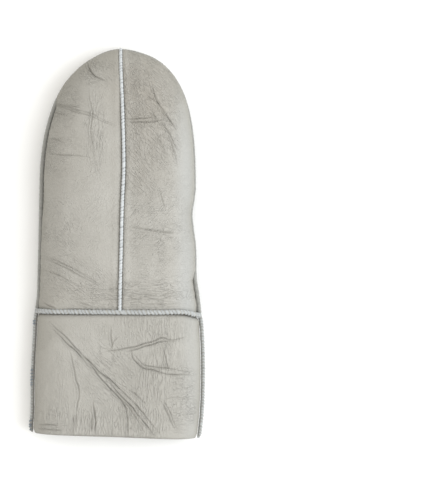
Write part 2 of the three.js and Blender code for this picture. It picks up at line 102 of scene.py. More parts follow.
# Columns: at, left and right as shares of the width, and rise as a share of the thickness
HAND_ROWS = np.array([
    (0.0, 0.546, 0.532, 0.5),
    (0.05, 0.538, 0.526, 0.54),
    (0.15, 0.53, 0.516, 0.6),
    (0.28, 0.527, 0.5, 0.64),
    (0.42, 0.524, 0.498, 0.65),
    (0.55, 0.521, 0.494, 0.65),
    (0.68, 0.519, 0.48, 0.65),
    (0.8, 0.517, 0.473, 0.65),
    (0.92, 0.515, 0.487, 0.64),
    (1.0, 0.513, 0.494, 0.64),
])
CUFF_ROWS = np.array([
    (0.08, 0.496, 0.485, 0.54),
    (0.2, 0.5, 0.49, 0.58),
    (0.4, 0.508, 0.494, 0.6),
    (0.6, 0.512, 0.493, 0.6),
    (0.8, 0.513, 0.486, 0.6),
    (0.92, 0.519, 0.477, 0.6),
    (1.0, 0.52, 0.47, 0.6),
])
LEFT, RIGHT, RISE = 1, 2, 3

# Columns: at, and the centre seam's shift as a share of the hand's width
SEAM_WANDER = np.array([
    (0.0, 0.012), (0.2, 0.021), (0.4, 0.029), (0.55, 0.039), (0.75, 0.031), (0.9, 0.016), (1.0, 0.009),
])

STRAIGHT_LENGTH = HAND_LENGTH - DOME_LENGTH
SIDE_REACH = 2 * SIDE_BEAD + GAP
RIGHT_ANGLE = math.pi / 2
LOWEST_TURN = -STRAIGHT_LENGTH / DOME_LENGTH
THUMB_LIFT = THUMB_THICKNESS + 2 * THUMB_BEAD + 3 * GAP
THUMB_TURN_END = 0.5
COLLAR_END = 0.12

# The photo's size, its millimetres per pixel and the pixel where the cuff seam meets the centre line, the
# camera's lens and distance, and the height of what it shows at that scale
PHOTO_WIDTH = 430
PHOTO_HEIGHT = 494
SCALE = 0.7125
SEAM_MIDDLE_PX = (119.3, 311.3)
LENS = 180.0
SENSOR = 36.0
CAMERA_DISTANCE = PHOTO_HEIGHT * SCALE * LENS / SENSOR
BACK_HEIGHT = 32.0

# How fine the panels' grids are: the back's steps across and over its dome in millimetres, its rows along,
# its steps round the side rim and the tip, the step across and the rows of the plain panels below, the steps
# round the hem, the rows inside it and those of the cuff's normals, and the steps across the thumb and
# the fleece
BACK_STEP = 0.36
DOME_STEP = 0.37
BACK_ROWS = 236
RIM_STEPS = 14
TIP_STEPS = 16
PLAIN_STEP = 1.4
PLAIN_ROWS = 80
HEM_STEPS = 10
HEM_ROWS = 16
NORMAL_ROWS = 200
THUMB_STEPS = 44
FLEECE_STEPS = 110


def along(rows, column, t):
    """A smooth curve through a table's column."""
    at, value = rows[:, 0], rows[:, column]
    t = np.clip(np.asarray(t, float), at[0], at[-1])
    i = np.clip(np.searchsorted(at, t, side="right") - 1, 0, len(at) - 2)
    slope = np.empty_like(value)
    slope[1:-1] = (value[2:] - value[:-2]) / (at[2:] - at[:-2])
    slope[0] = (value[1] - value[0]) / (at[1] - at[0])
    slope[-1] = (value[-1] - value[-2]) / (at[-1] - at[-2])
    span = at[i + 1] - at[i]
    s = (t - at[i]) / span
    keep = (1 + 2 * s) * (1 - s) ** 2
    ends = slope[i] * span * s * (1 - s) ** 2 - slope[i + 1] * span * s * s * (1 - s)
    return value[i] * keep + value[i + 1] * (1 - keep) + ends


def joined(*arrays):
    return np.concatenate(arrays)


def xyz(x, y, z):
    return np.stack(np.broadcast_arrays(x, y, z), -1)


def clipped(t):
    return np.clip(t, 0, 1)


def ease(t):
    s = clipped(t)
    return s * s * (3 - 2 * s)


def bell(t, power=2):
    return np.exp(-(t**power))


CUFF_WIDTHS = np.vstack([
    [0.0, HAND_ROWS[0, LEFT] * HAND_WIDTH, HAND_ROWS[0, RIGHT] * HAND_WIDTH, HAND_ROWS[0, RISE]],
    np.column_stack([CUFF_ROWS[:, 0], CUFF_ROWS[:, LEFT:RISE] * CUFF_WIDTH, CUFF_ROWS[:, RISE]]),
])


def width_at(rows, is_right, t):
    return np.where(is_right, along(rows, RIGHT, t), along(rows, LEFT, t))


def hand_half_width(is_right, y):
    return width_at(HAND_ROWS, is_right, np.maximum(y, 0) / STRAIGHT_LENGTH) * HAND_WIDTH - SIDE_REACH


def cuff_half_width(is_right, depth):
    to_hem = np.clip(HEM_CORNER - (1 - depth) * CUFF_LENGTH, 0, HEM_CORNER)
    corner = HEM_CORNER - np.sqrt(HEM_CORNER**2 - to_hem**2)
    return width_at(CUFF_WIDTHS, is_right, depth) - corner - SIDE_REACH


def seam_dip(x):
    return SEAM_SLANT * (x / HAND_WIDTH) + SEAM_CURL * (2 * np.maximum(x, 0) / HAND_WIDTH) ** 8


def hem_dip(x):
    return HEM_SLANT * (x / HAND_WIDTH) - HEM_BOW * (1 - (2 * x / CUFF_WIDTH) ** 2)


def to_thumb(x, y):
    dx, dy = x - THUMB_FORK[0], y - THUMB_FORK[1]
    return dx * SLANT_COS + dy * SLANT_SIN, dy * SLANT_COS - dx * SLANT_SIN


def from_thumb(x, y):
    return x * SLANT_COS - y * SLANT_SIN + THUMB_FORK[0], x * SLANT_SIN + y * SLANT_COS + THUMB_FORK[1]


def lift(x, y):
    """How far the thumb lifts the hand off the table at a place."""
    tx, ty = to_thumb(x, y)
    nearest = np.clip(ty, -HOLE_HALF_LENGTH, THUMB_REACH - THUMB_HALF_WIDTH)
    beyond = np.hypot(tx, ty - nearest) - (THUMB_HALF_WIDTH + 2 * THUMB_BEAD + 2 * GAP + DRAPE_MARGIN)
    return THUMB_LIFT * ease(1 - beyond / DRAPE_LENGTH)


def swell(centring, squareness):
    return np.sqrt(np.maximum(0, 1 - np.maximum(0, 1 - centring**2) ** (squareness / 2)))


def hand_place(across, lengthwise):
    """x, y and centring on the hand, from a turn across and a turn lengthwise, as in the part's source."""
    across, lengthwise = np.broadcast_arrays(np.asarray(across, float), np.asarray(lengthwise, float))
    a, is_right = np.sin(across), across >= 0

    def wander(y):
        return along(SEAM_WANDER, 1, y / HAND_LENGTH) * HAND_WIDTH * (1 - np.abs(a)) ** 2

    height = STRAIGHT_LENGTH + np.minimum(lengthwise, 0) * DOME_LENGTH
    low_x = a * hand_half_width(is_right, height) + wander(height)
    low_y = height - seam_dip(low_x) * (1 - height / STRAIGHT_LENGTH) ** 2
    up = np.maximum(lengthwise, 0)
    b = np.sin(up)
    disc_x, disc_y = a * np.sqrt(1 - b * b / 2), b * np.sqrt(1 - a * a / 2)
    angle = np.arctan2(disc_y, np.abs(disc_x) + 1e-12)
    n = np.where(is_right, RIGHT_ROUNDNESS, LEFT_ROUNDNESS)
    reach = (np.cos(angle) ** n + np.abs(np.sin(angle)) ** n) ** (-1 / n)
    high_y = STRAIGHT_LENGTH + disc_y * reach * (DOME_LENGTH - SIDE_REACH)
    high_x = disc_x * reach * hand_half_width(is_right, STRAIGHT_LENGTH + 0 * a) + wander(high_y)
    is_low = lengthwise < 0
    centring = np.cos(across) * np.cos(up)
    return np.where(is_low, low_x, high_x), np.where(is_low, low_y, high_y), centring


def cuff_place(across, depth):
    """x, y and centring on the cuff, from a turn across and a depth of 0 at the cuff seam to 1 at the hem."""
    across, depth = np.broadcast_arrays(np.asarray(across, float), np.asarray(depth, float))
    x = np.sin(across) * cuff_half_width(across >= 0, depth)
    dip = (1 - depth) ** 2 * seam_dip(x) + depth**2 * hem_dip(x)
    return x, -depth * CUFF_LENGTH - dip, np.cos(across)


def back_height(x, y, centring):
    on_hand = along(HAND_ROWS, RISE, y / STRAIGHT_LENGTH)
    on_cuff = along(CUFF_WIDTHS, RISE, -y / CUFF_LENGTH)
    rise = np.where(y > 0, on_hand, on_cuff) * HAND_THICKNESS
    return RIM_HEIGHT + GAP / 2 + rise * swell(centring, BACK_SQUARENESS) + lift(x, y) * (1 - DRAPE_GIVE)


def rim_height_at(x, y):
    """Height of the palm's rim."""
    return RIM_HEIGHT - GAP / 2 + lift(x, y) * (1 - DRAPE_GIVE)


def palm_height(x, y, centring):
    curl = np.maximum(0, 1 - PALM_FLATTENING * swell(centring, PALM_SQUARENESS)) ** 1.5
    over_thumb = lift(x, y)
    over_seam = (2 * CUFF_BEAD + 3 * GAP) * bell(y / SEAM_ROOM)
    lowest = over_thumb + over_seam * (1 - over_thumb / THUMB_LIFT)
    return lowest + (rim_height_at(x, y) - lowest) * curl


def hand_back(across, lengthwise):
    x, y, centring = hand_place(across, lengthwise)
    off = np.sin(across) * hand_half_width(np.asarray(across) >= 0, y)
    ends = np.cos(np.maximum(lengthwise, 0)) * ease(y / VALLEY_HALF_WIDTH)
    z = back_height(x, y, centring) - VALLEY_DEPTH * ends * bell(off / VALLEY_HALF_WIDTH)
    return xyz(x, y, z)


def hand_palm(across, lengthwise):
    x, y, centring = hand_place(across, lengthwise)
    z = palm_height(x, y, centring)
    near = ease(y / ROLL_START) * ease((ROLL_END - y) / (ROLL_END - ROLL_START))
    out = np.maximum(across, 0)
    x = x + ROLL_OUT * near * np.sin(out) ** 2 * (1 - (out / RIGHT_ANGLE) ** 8) ** 3
    return xyz(x, y, z)


def cuff_back(across, depth):
    x, y, centring = cuff_place(across, depth)
    return xyz(x, y, back_height(x, y, centring))


def cuff_palm(across, depth):
    x, y, centring = cuff_place(across, depth)
    return xyz(x, y, palm_height(x, y, centring))


def palm_above(x, y):
    """Height of the palm's outside over a place in the thumb's frame."""
    x, y = from_thumb(x, y)
    across = np.arcsin(np.clip(x / hand_half_width(x >= 0, y), -1, 1))
    return palm_height(x, y, np.cos(across)) - GAP


def thumb_point(turn_round, t, apart=0.0):
    """A place on the thumb in its own frame, from a turn round it and 0 at the palm to 1 at the tip."""
    turn_round, t = np.broadcast_arrays(np.asarray(turn_round, float), np.asarray(t, float))
    half = THUMB_THICKNESS / 2
    turn = ease((t - COLLAR_END) / (THUMB_TURN_END - COLLAR_END)) * RIGHT_ANGLE
    up = (np.sin(turn_round) - 1) / np.hypot(np.cos(turn) / HOLE_HALF_LENGTH, np.sin(turn) / half) + apart
    mouth_z = THUMB_THICKNESS + up * np.sin(turn)
    mouth = xyz(THUMB_HALF_WIDTH * np.cos(turn_round), up * np.cos(turn), mouth_z)
    above = palm_above(mouth[..., 0], mouth[..., 1])
    collar = above + (THUMB_THICKNESS - above) * t / COLLAR_END
    mouth[..., 2] = np.where(t < COLLAR_END, collar, mouth[..., 2])
    on = np.maximum(t - THUMB_TURN_END, 0) / (1 - THUMB_TURN_END)
    tip_turn = np.maximum(on - 0.5, 0) / 0.5 * RIGHT_ANGLE
    size = np.cos(tip_turn)
    forward = np.minimum(on / 0.5, 1) * (THUMB_REACH - THUMB_TIP_LENGTH) + THUMB_TIP_LENGTH * np.sin(tip_turn)
    z = half * (1 + size * np.sin(turn_round)) + apart
    tip = xyz(THUMB_HALF_WIDTH * size * np.cos(turn_round), forward, z)
    point = np.where((t < THUMB_TURN_END)[..., None], mouth, tip)
    flat = np.clip(half + (point[..., 2] - half) * THUMB_FLATTENING, 0, THUMB_THICKNESS)
    point[..., 2] = np.where(t >= COLLAR_END, flat, point[..., 2])
    return point


def thumb_in_place(point):
    x, y = from_thumb(point[..., 0], point[..., 1])
    return xyz(x, y, point[..., 2])


def spread(start, end, count):
    return np.linspace(start, end, count + 1)


def even_turns(half_width, step, rim_steps, level_share=0.94):
    """Turns from 0 to a right angle: even places up to a share of the half width, then even turns."""
    level = np.arcsin(spread(0, level_share, int(round(half_width * level_share / step))))
    return joined(level[:-1], spread(level[-1], RIGHT_ANGLE, rim_steps))


# The mitten's own frame in the row's, from the cuff's rim and the finger tips of the frame
cuff_low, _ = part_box("cuff_back")
_, back_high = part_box("back_left")
rim_x, _, _ = cuff_place(-RIGHT_ANGLE, spread(0, 1, 100))
SHIFT = np.array([cuff_low[0] * 1000 - rim_x.min(), back_high[1] * 1000 - (HAND_LENGTH - SIDE_REACH), 0.0])


def seen_at(px, py):
    """Where the mitten's back lies that the photo shows at a pixel."""
    nearer = 1 - (BACK_HEIGHT - RIM_HEIGHT) / CAMERA_DISTANCE
    px = PHOTO_WIDTH / 2 + (px - PHOTO_WIDTH / 2) * nearer
    py = PHOTO_HEIGHT / 2 + (py - PHOTO_HEIGHT / 2) * nearer
    return (px - SEAM_MIDDLE_PX[0]) * SCALE, (SEAM_MIDDLE_PX[1] - py) * SCALE


NOISE_CELLS = 64
NOISE_START = 100.0


def noise2(x, y, size, seed):
    """Smooth noise from -1 to 1 with cells of a size."""
    table = np.random.default_rng(seed).uniform(-1, 1, (NOISE_CELLS, NOISE_CELLS))
    u, v = np.asarray(x) / size + NOISE_START, np.asarray(y) / size + NOISE_START
    i, j = np.floor(u).astype(int), np.floor(v).astype(int)
    s, t = u - i, v - j
    s, t = s**3 * (s * (s * 6 - 15) + 10), t**3 * (t * (t * 6 - 15) + 10)
    i, j, next_i, next_j = i % NOISE_CELLS, j % NOISE_CELLS, (i + 1) % NOISE_CELLS, (j + 1) % NOISE_CELLS
    low = table[i, j] * (1 - s) + table[next_i, j] * s
    high = table[i, next_j] * (1 - s) + table[next_i, next_j] * s
    return low * (1 - t) + high * t


def noise1(s, size, seed):
    return noise2(s, 0 * s, size, seed)


def fold(depth, lip, path, width=0.42, pair=0.0):
    """A fold as it lies in the photo, whose path is in its pixels.

    depth is of its grooves, lip the height of the leather beside or between them, width how soft they are and
    pair how far apart two of them run, in millimetres.
    """
    return dict(depth=depth, lip=lip, path=path, width=width, pair=pair)


CUFF_FOLDS = [
    fold(0.56, 0.36, [(48, 321), (56, 329), (62, 334), (70, 342), (76, 349), (85, 357), (93, 366),
         (101, 373), (110, 380), (118, 387), (127, 396), (134, 403), (142, 412), (149, 421), (156, 430),
         (162, 438)]),
    fold(0.46, 0.3, [(52, 329), (59, 336), (65, 342), (72, 348), (80, 356), (88, 366), (92, 370)]),
    fold(0.5, 0.3, [(86, 359), (97, 374), (107, 385), (116, 394), (123, 403), (127, 414),
         (128, 437)], width=0.44),
    fold(0.5, 0.34, [(108, 381), (115, 389), (124, 399), (132, 407), (139, 416), (147, 426), (156, 438)]),
    fold(0.3, 0.2, [(122, 399), (130, 409), (137, 419), (144, 432)]),
    fold(0.44, 0.3, [(104, 351), (117, 350), (127, 348), (137, 346), (146, 343), (155, 340), (163, 338),
         (174, 340), (186, 337)]),
    fold(0.4, 0.28, [(124, 352), (137, 349), (146, 346), (156, 343), (169, 341), (178, 342)]),
    fold(0.48, 0.3, [(131, 347), (132, 357), (136, 363), (144, 368), (157, 371), (169, 374), (183, 375),
         (193, 374)]),
    fold(0.38, 0.28, [(134, 354), (139, 361), (146, 365), (155, 367), (167, 368), (177, 370), (190, 373)]),
    fold(0.34, 0.24, [(161, 342), (164, 352), (166, 362), (169, 372)], width=0.44),
    fold(0.2, 0.15, [(110, 349), (114, 341), (119, 336)], width=0.44),
    fold(0.36, 0.25, [(69, 349), (75, 376), (79, 390), (77, 407), (75, 431)], width=0.54),
    fold(0.5, 0.3, [(93, 400), (95, 416), (95, 433)], width=0.5),
    fold(0.35, 0.2, [(91, 415), (91.5, 433)], width=0.44),
    fold(0.3, 0.2, [(72, 414), (73.5, 424), (73, 434)], width=0.5),
    fold(0.36, 0.26, [(160, 398), (168, 411), (173, 423), (177, 431)], pair=2.0),
    fold(0.3, 0.22, [(110, 325), (111, 337), (111.5, 350)], width=0.5),
    fold(0.3, 0.22, [(125, 388), (137, 396), (146, 405)], width=0.5),
    fold(0.32, 0.2, [(38, 426), (48, 425), (58, 426)], width=0.44),
    fold(0.32, 0.2, [(38, 429.5), (50, 430), (62, 430)], width=0.44),
    fold(0.22, 0.15, [(176, 386), (186, 388), (195, 386)], width=0.44),
    fold(0.22, 0.15, [(163, 400), (174, 397), (192, 400)], width=0.44),
    fold(0.22, 0.15, [(180, 414), (187, 415), (196, 414)], width=0.44),
]
HAND_FOLDS = [
    fold(0.5, 0.4, [(87, 60), (89, 68), (95, 76), (106, 81)], width=0.47),
    fold(0.26, 0.25, [(54, 103), (66, 107), (80, 112), (95, 117), (106, 122), (115, 126)], pair=1.8),
    fold(0.26, 0.2, [(89, 90), (91, 104), (92.4, 116), (91, 131), (93.5, 146), (94, 158)], width=0.44),
    fold(0.4, 0.3, [(127, 119.5), (140, 118.6), (153, 118)]),
    fold(0.36, 0.28, [(127, 123), (140, 122.5), (152, 122.3), (162, 120.5)]),
    fold(0.36, 0.28, [(150, 80), (153, 92), (157, 104), (161, 112), (164, 119)]),
    fold(0.36, 0.28, [(156, 102), (162, 111), (168, 119), (173, 127)]),
    fold(0.34, 0.28, [(163, 114), (170, 122), (176, 131)]),
    fold(0.28, 0.22, [(151, 109), (154, 116), (158, 124)]),
    fold(0.34, 0.26, [(160, 121), (166, 130), (172, 140), (175, 148)]),
    fold(0.26, 0.2, [(167, 133), (172, 146), (175, 158), (177, 168)], width=0.44),
    fold(0.2, 0.16, [(155, 132), (161, 144), (166, 156)], width=0.44),
    fold(0.24, 0.18, [(48, 140), (56, 139), (64, 143)], width=0.44),
    fold(0.24, 0.18, [(49, 152), (60, 155), (74, 156), (87, 157)], width=0.44),
    fold(0.2, 0.16, [(52, 110), (60, 114), (68, 114)], width=0.44),
    fold(0.2, 0.16, [(66, 104), (74, 106), (80, 107)], width=0.44),
    fold(0.32, 0.26, [(42, 256), (56, 262), (67, 267), (83, 275), (102, 287)], width=0.5, pair=2.0),
    fold(0.24, 0.2, [(44, 270), (60, 276), (76, 285)], width=0.5),
    fold(0.3, 0.24, [(131, 226), (148, 230), (160, 232), (176, 233)], width=0.6),
    fold(0.24, 0.2, [(159, 188), (162, 199), (165, 210)], width=0.5),
    fold(0.2, 0.16, [(126, 299), (144, 296), (158, 298), (170, 295), (184, 296)], width=0.44, pair=2.6),
    fold(0.24, 0.2, [(136, 306), (150, 304), (166, 304), (182, 302)], width=0.44),
    fold(0.45, 0.35, [(44, 303), (50, 306), (56, 309)], width=0.5),
    fold(0.36, 0.3, [(79, 302), (86, 304), (92, 307)], width=0.5),
]

# How strong the patches of fine folds are in all, and the angle in degrees at which their two sets cross
RIPPLE_STRENGTH = 0.44
RIPPLE_CROSSING = 26

# The finest wrinkles, which the material makes: their lies in degrees, their size in millimetres, how much
# longer than wide they are, and their strength everywhere, for each millimetre of a patch's depth and on the
# plain panels
WRINKLE_LIES = (0, 45, 90, 135)
WRINKLE_SIZE = 1.9
WRINKLE_STRETCH = 4.5
WRINKLE_BASE = 0.12
WRINKLE_SHARE = 6.0
PLAIN_WRINKLES = 0.35

# Patches of fine folds. Columns: middle and half sizes in the photo's pixels, lie in degrees from its
# horizontal, counter-clockwise, the folds' spacing and depth in millimetres, and their length by their width
CUFF_RIPPLES = [
    ((76, 398), (50, 44), 94, 1.9, 0.09, 5.0),
    ((62, 424), (34, 16), 93, 1.6, 0.1, 5.0),
    ((60, 345), (34, 28), 120, 1.9, 0.08, 3.5),
    ((168, 330), (26, 15), 84, 1.5, 0.16, 4.0),
    ((126, 330), (44, 16), 95, 1.8, 0.1, 3.5),
    ((154, 362), (40, 26), 80, 1.7, 0.14, 3.0),
    ((152, 402), (36, 34), 92, 1.7, 0.14, 3.2),
    ((183, 398), (15, 38), 4, 1.7, 0.21, 4.5),
    ((120, 424), (46, 15), 94, 1.6, 0.17, 4.0),
    ((110, 380), (32, 36), -44, 1.7, 0.16, 4.0),
    ((52, 427), (18, 7), 2, 1.5, 0.17, 5.0),
    ((110, 348), (34, 24), -20, 1.9, 0.08, 2.5),
]
HAND_RIPPLES = [
    ((133, 95), (10, 54), 118, 1.5, 0.3, 2.6),
    ((148, 90), (26, 40), 126, 1.6, 0.24, 3.0),
    ((167, 126), (13, 50), -62, 1.7, 0.28, 3.2),
    ((142, 160), (20, 52), -58, 1.6, 0.24, 2.8),
    ((150, 121), (24, 8), 0, 1.6, 0.2, 3.5),
    ((95, 72), (26, 16), 128, 1.7, 0.16, 3.0),
    ((64, 96), (20, 24), -12, 1.7, 0.24, 3.6),
    ((58, 150), (20, 38), -20, 1.7, 0.22, 3.4),
    ((96, 134), (12, 40), 88, 1.8, 0.14, 3.0),
    ((154, 222), (34, 54), 24, 1.9, 0.22, 2.4),
    ((76, 212), (42, 54), 60, 2.0, 0.08, 2.2),
    ((60, 228), (26, 34), -40, 2.0, 0.13, 3.0),
    ((72, 282), (40, 24), -28, 1.8, 0.2, 3.2),
    ((156, 292), (38, 18), 4, 1.7, 0.17, 3.4),
    ((112, 298), (28, 14), -8, 1.7, 0.15, 2.8),
]

# Where the hand's leather is darker and browner. Columns: middle and half sizes in the photo's pixels, and
# how strongly
HAND_BROWN_PATCHES = [
    ((147, 92), (27, 42), 0.9),
    ((146, 160), (24, 44), 0.42),
    ((112, 80), (14, 40), 0.3),
    ((60, 150), (26, 40), 0.2),
    ((70, 296), (50, 16), 0.25),
]


def far_squared(x, y, at, half):
    """How far places are from a patch's middle, in its half sizes, squared."""
    middle_x, middle_y = seen_at(*at)
    half_x, half_y = np.array(half) * SCALE
    return ((x - middle_x) / half_x) ** 2 + ((y - middle_y) / half_y) ** 2


def dullness(x, y):
    """How much darker and browner the hand's leather is at places, from 0 to 1."""
    total = sum(strength * bell(far_squared(x, y, at, half), 1.5) for at, half, strength in HAND_BROWN_PATCHES)
    return total * (0.85 + 0.25 * noise2(x, y, 9, 801) + 0.15 * noise2(x, y, 3.5, 802))


def curved(path):
    """The path through given points, rounded off."""
    p = np.array(path, float)
    padded = np.vstack([2 * p[0] - p[1], p, 2 * p[-1] - p[-2]])
    out = []
    for a, b, c, d in zip(padded[:-3], padded[1:-2], padded[2:-1], padded[3:]):
        for t in np.linspace(0, 1, 5)[:-1]:
            bend = (2 * a - 5 * b + 4 * c - d) * t**2 + (3 * b - a - 3 * c + d) * t**3
            out.append(0.5 * (2 * b + (c - a) * t + bend))
    out.append(p[-1])
    return np.array(out)


def add_fold(x, y, path, pair, depth, width, lip, height, shade):
    """Adds one fold, of one groove or two with a ridge between, to a height field over x and y."""
    points = curved([seen_at(*p) for p in path])
    points[:, 0] += 0.4 * noise2(points[:, 1], points[:, 0], 6, 901)
    points[:, 1] += 0.4 * noise2(points[:, 0], points[:, 1], 6, 902)
    pad = 4 * width + pair + 1
    near = ((x > points[:, 0].min() - pad) & (x < points[:, 0].max() + pad)
            & (y > points[:, 1].min() - pad) & (y < points[:, 1].max() + pad))
    if not near.any():
        return
    px, py = x[near], y[near]
    lengths = np.hypot(*np.diff(points, axis=0).T)
    best, where, side = np.full(px.shape, 1e9), np.zeros(px.shape), np.zeros(px.shape)
    done = 0.0
    for (ax, ay), (bx, by), size in zip(points[:-1], points[1:], lengths):
        ux, uy = (bx - ax) / size, (by - ay) / size
        t = np.clip((px - ax) * ux + (py - ay) * uy, 0, size)
        ox, oy = px - ax - t * ux, py - ay - t * uy
        off = np.hypot(ox, oy)
        closer = off < best
        best = np.where(closer, off, best)
        where = np.where(closer, done + t, where)
        side = np.where(closer, np.sign(ox * uy - oy * ux), side)
        done += size
    share = where / done
    fade = np.sin(np.pi * np.clip(share, 0.02, 0.98)) ** 0.5
    half = pair / 2 * (0.55 + 0.45 * np.sin(np.pi * share)) * (1 + 0.12 * noise1(where, 9, 903))
    strength = fade * (0.95 + 0.35 * noise1(where, 8, 904) + 0.12 * noise1(where, 3, 905))
    groove = bell((best - half) / width)
    if pair:
        ridge = bell(best / (0.75 * np.maximum(half, 0.3)))
    else:
        ridge = bell((best - 1.9 * width) / (1.1 * width)) * (1 + 0.35 * side)
    height[near] += strength * (lip * ridge - depth * groove)
    # Painted shade in the grooves
    shade[near] += strength * groove * min(1.0, depth * 1.1)


def add_ripples(x, y, at, half, lie, spacing, depth, stretch, seed, height, shade, wrinkles):
    """Adds a patch of fine folds, in two sets that cross at a small angle, to a height field over x and y.

    The finest wrinkles beside them are added to how strong those of each lie are.
    """
    mask = bell(far_squared(x, y, at, half)) * (0.9 + 0.45 * noise2(x, y, 6, seed + 8))
    bent_x = x + 1.2 * noise2(x, y, 9, seed) + 0.35 * noise2(x, y, 3, seed + 1)
    bent_y = y + 1.2 * noise2(y, x, 9, seed + 2) + 0.35 * noise2(y, x, 3, seed + 3)
    valley, swelling = np.zeros(x.shape), np.zeros(x.shape)
    for k, crossing in enumerate((RIPPLE_CROSSING / 2, -RIPPLE_CROSSING / 2)):
        angle = math.radians(lie + crossing)
        on = (bent_x * math.cos(angle) + bent_y * math.sin(angle)) / stretch
        over = bent_y * math.cos(angle) - bent_x * math.sin(angle)
        wave = noise2(on, over, spacing, seed + 4 + k)
        ends = np.clip(0.7 + 0.8 * noise2(on, over, spacing * 2.3, seed + 6 + k), 0, 1.2)
        valley = np.maximum(valley, bell(wave / 0.42) * ends)
        swelling += 0.5 * wave * ends
    fold_depth = depth * RIPPLE_STRENGTH
    height += mask * fold_depth * (0.5 * swelling - valley)
    # Painted shade in the valleys
    shade += mask * valley * min(1.0, 0.4 * fold_depth)
    for wrinkle, wrinkle_lie in zip(wrinkles, WRINKLE_LIES):
        apart = abs((lie - wrinkle_lie + 90) % 180 - 90)
        wrinkle += mask * depth * WRINKLE_SHARE * max(0.0, 1 - apart / 45)


def relief(x, y, folds, ripples, seed):
    """Height of the folds in millimetres, the painted shade in their grooves, and the finest wrinkles'
    strengths.
    """
    height, shade = np.zeros(x.shape), np.zeros(x.shape)
    wrinkles = [np.full(x.shape, WRINKLE_BASE) for _ in WRINKLE_LIES]
    for row in folds:
        add_fold(x, y, height=height, shade=shade, **row)
    for k, patch in enumerate(ripples):
        add_ripples(x, y, *patch, seed + 20 * k, height, shade, wrinkles)
    net = noise2(x + 0.5 * noise2(x, y, 3, seed + 7), y, 1.9, seed + 9)
    height += 0.05 * np.minimum(np.abs(net) * 3, 1)
    return height, shade, wrinkles


def soft_lumps(x, y, seed):
    octaves = ((34, 0.6), (15, 0.32), (6.5, 0.11), (2.6, 0.03))
    return sum(share * noise2(x, y, size, seed + k) for k, (size, share) in enumerate(octaves))


PUCKER_PITCH = 4.6


def puckers(s, off, seed, size=0.2, reach=4.5):
    """Small gathers at right angles to a seam: s runs along it and off is the distance from it."""
    wave = np.sin(s * 2 * np.pi / PUCKER_PITCH + 2.4 * noise1(s, 9, seed))
    return size * wave * (0.5 + 0.5 * noise1(s, 14, seed + 5)) * bell(off / reach)


def beside_seam(off, dip, dip_reach, swelling, at, reach):
    """How leather dips at a seam and swells beside it, by the distance from it."""
    return -dip * bell(off / dip_reach) + swelling * bell((off - at) / reach)


def inside(rim, reach):
    """From 0 at a rim, where the turn's share is 1, to 1 from a share further in."""
    return clipped((1 - rim) / reach)


def new_object(name, data):
    item = bpy.data.objects.new(name, data)
    bpy.context.scene.collection.objects.link(item)
    return item


def new_piece(name, points, faces, materials, nodes=(), kinds=None):
    """A smooth mesh from points in the mitten's own frame. It rides on the root and stands for the nodes."""
    mesh = bpy.data.meshes.new(name)
    points = (np.asarray(points, float).reshape(-1, 3) + SHIFT) * 0.001
    sides = faces.shape[1]
    mesh.vertices.add(len(points))
    mesh.vertices.foreach_set("co", points.ravel())
    mesh.loops.add(faces.size)
    mesh.loops.foreach_set("vertex_index", faces.ravel())
    mesh.polygons.add(len(faces))
    mesh.polygons.foreach_set("loop_start", np.arange(0, faces.size, sides))
    mesh.polygons.foreach_set("loop_total", np.full(len(faces), sides))
    mesh.polygons.foreach_set("use_smooth", np.full(len(faces), True))
    for material in materials:
        mesh.materials.append(material)
    if kinds is not None:
        mesh.polygons.foreach_set("material_index", kinds)
    mesh.update(calc_edges=True)
    piece = new_object(name, mesh)
    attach(piece, "root")
    if nodes:
        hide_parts(*nodes)
    return piece


def set_shades(piece, wrinkles=None, **shades):
    """Stores values from 0 to 1 at a piece's points, which its material reads by their names."""
    if wrinkles is None:
        wrinkles = [np.full(len(piece.data.vertices), PLAIN_WRINKLES)] * len(WRINKLE_LIES)
    shades.update((f"wrinkle_{lie}", strength) for lie, strength in zip(WRINKLE_LIES, wrinkles))
    for name, values in shades.items():
        layer = piece.data.attributes.new(name, "FLOAT", "POINT")
        layer.data.foreach_set("value", clipped(values).ravel())


def grid_faces(points, turned):
    rows, columns = points.shape[:2]
    i, j = np.meshgrid(np.arange(columns - 1), np.arange(rows - 1))
    a = (j * columns + i).ravel()
    faces = np.stack([a, a + 1, a + 1 + columns, a + columns], -1)
    return faces[:, ::-1] if turned else faces


def leather_panel(name, node, points, turned=False):
    return new_piece(name, points, grid_faces(points, turned), [LEATHER], [node])


def tube_faces(rings, sides, first, turned):
    """Faces of a tube whose rings of points start at a number."""
    i, j = np.meshgrid(np.arange(sides), np.arange(rings - 1))
    a, b = first + (j * sides + i).ravel(), first + (j * sides + (i + 1) % sides).ravel()
    faces = np.stack([a, b, b + sides, a + sides], -1)
    return faces[:, ::-1] if turned else faces


def normals_of(points):
    """Unit normals of a grid of points: its columns' way crossed with its rows' way."""
    n = np.cross(np.gradient(points, axis=1), np.gradient(points, axis=0))
    return n / np.maximum(np.linalg.norm(n, axis=-1, keepdims=True), 1e-12)


def set_inputs(tree, node, inputs):
    """Sets a node's inputs, by name or number, to values or to what other nodes give."""
    for key, value in inputs.items():
        if isinstance(value, bpy.types.NodeSocket):
            tree.links.new(value, node.inputs[key])
        else:
            node.inputs[key].default_value = value


def new_material(name, inputs):
    """A material with one shader, whose inputs are given, and its node tree and shader."""
    material = bpy.data.materials.new(name)
    material.use_nodes = True
    tree = material.node_tree
    tree.nodes.clear()
    out = tree.nodes.new("ShaderNodeOutputMaterial")
    shader = tree.nodes.new("ShaderNodeBsdfPrincipled")
    tree.links.new(shader.outputs["BSDF"], out.inputs["Surface"])
    set_inputs(tree, shader, inputs)
    return material, tree, shader


def place_on(tree):
    return tree.nodes.new("ShaderNodeTexCoord").outputs["Object"]


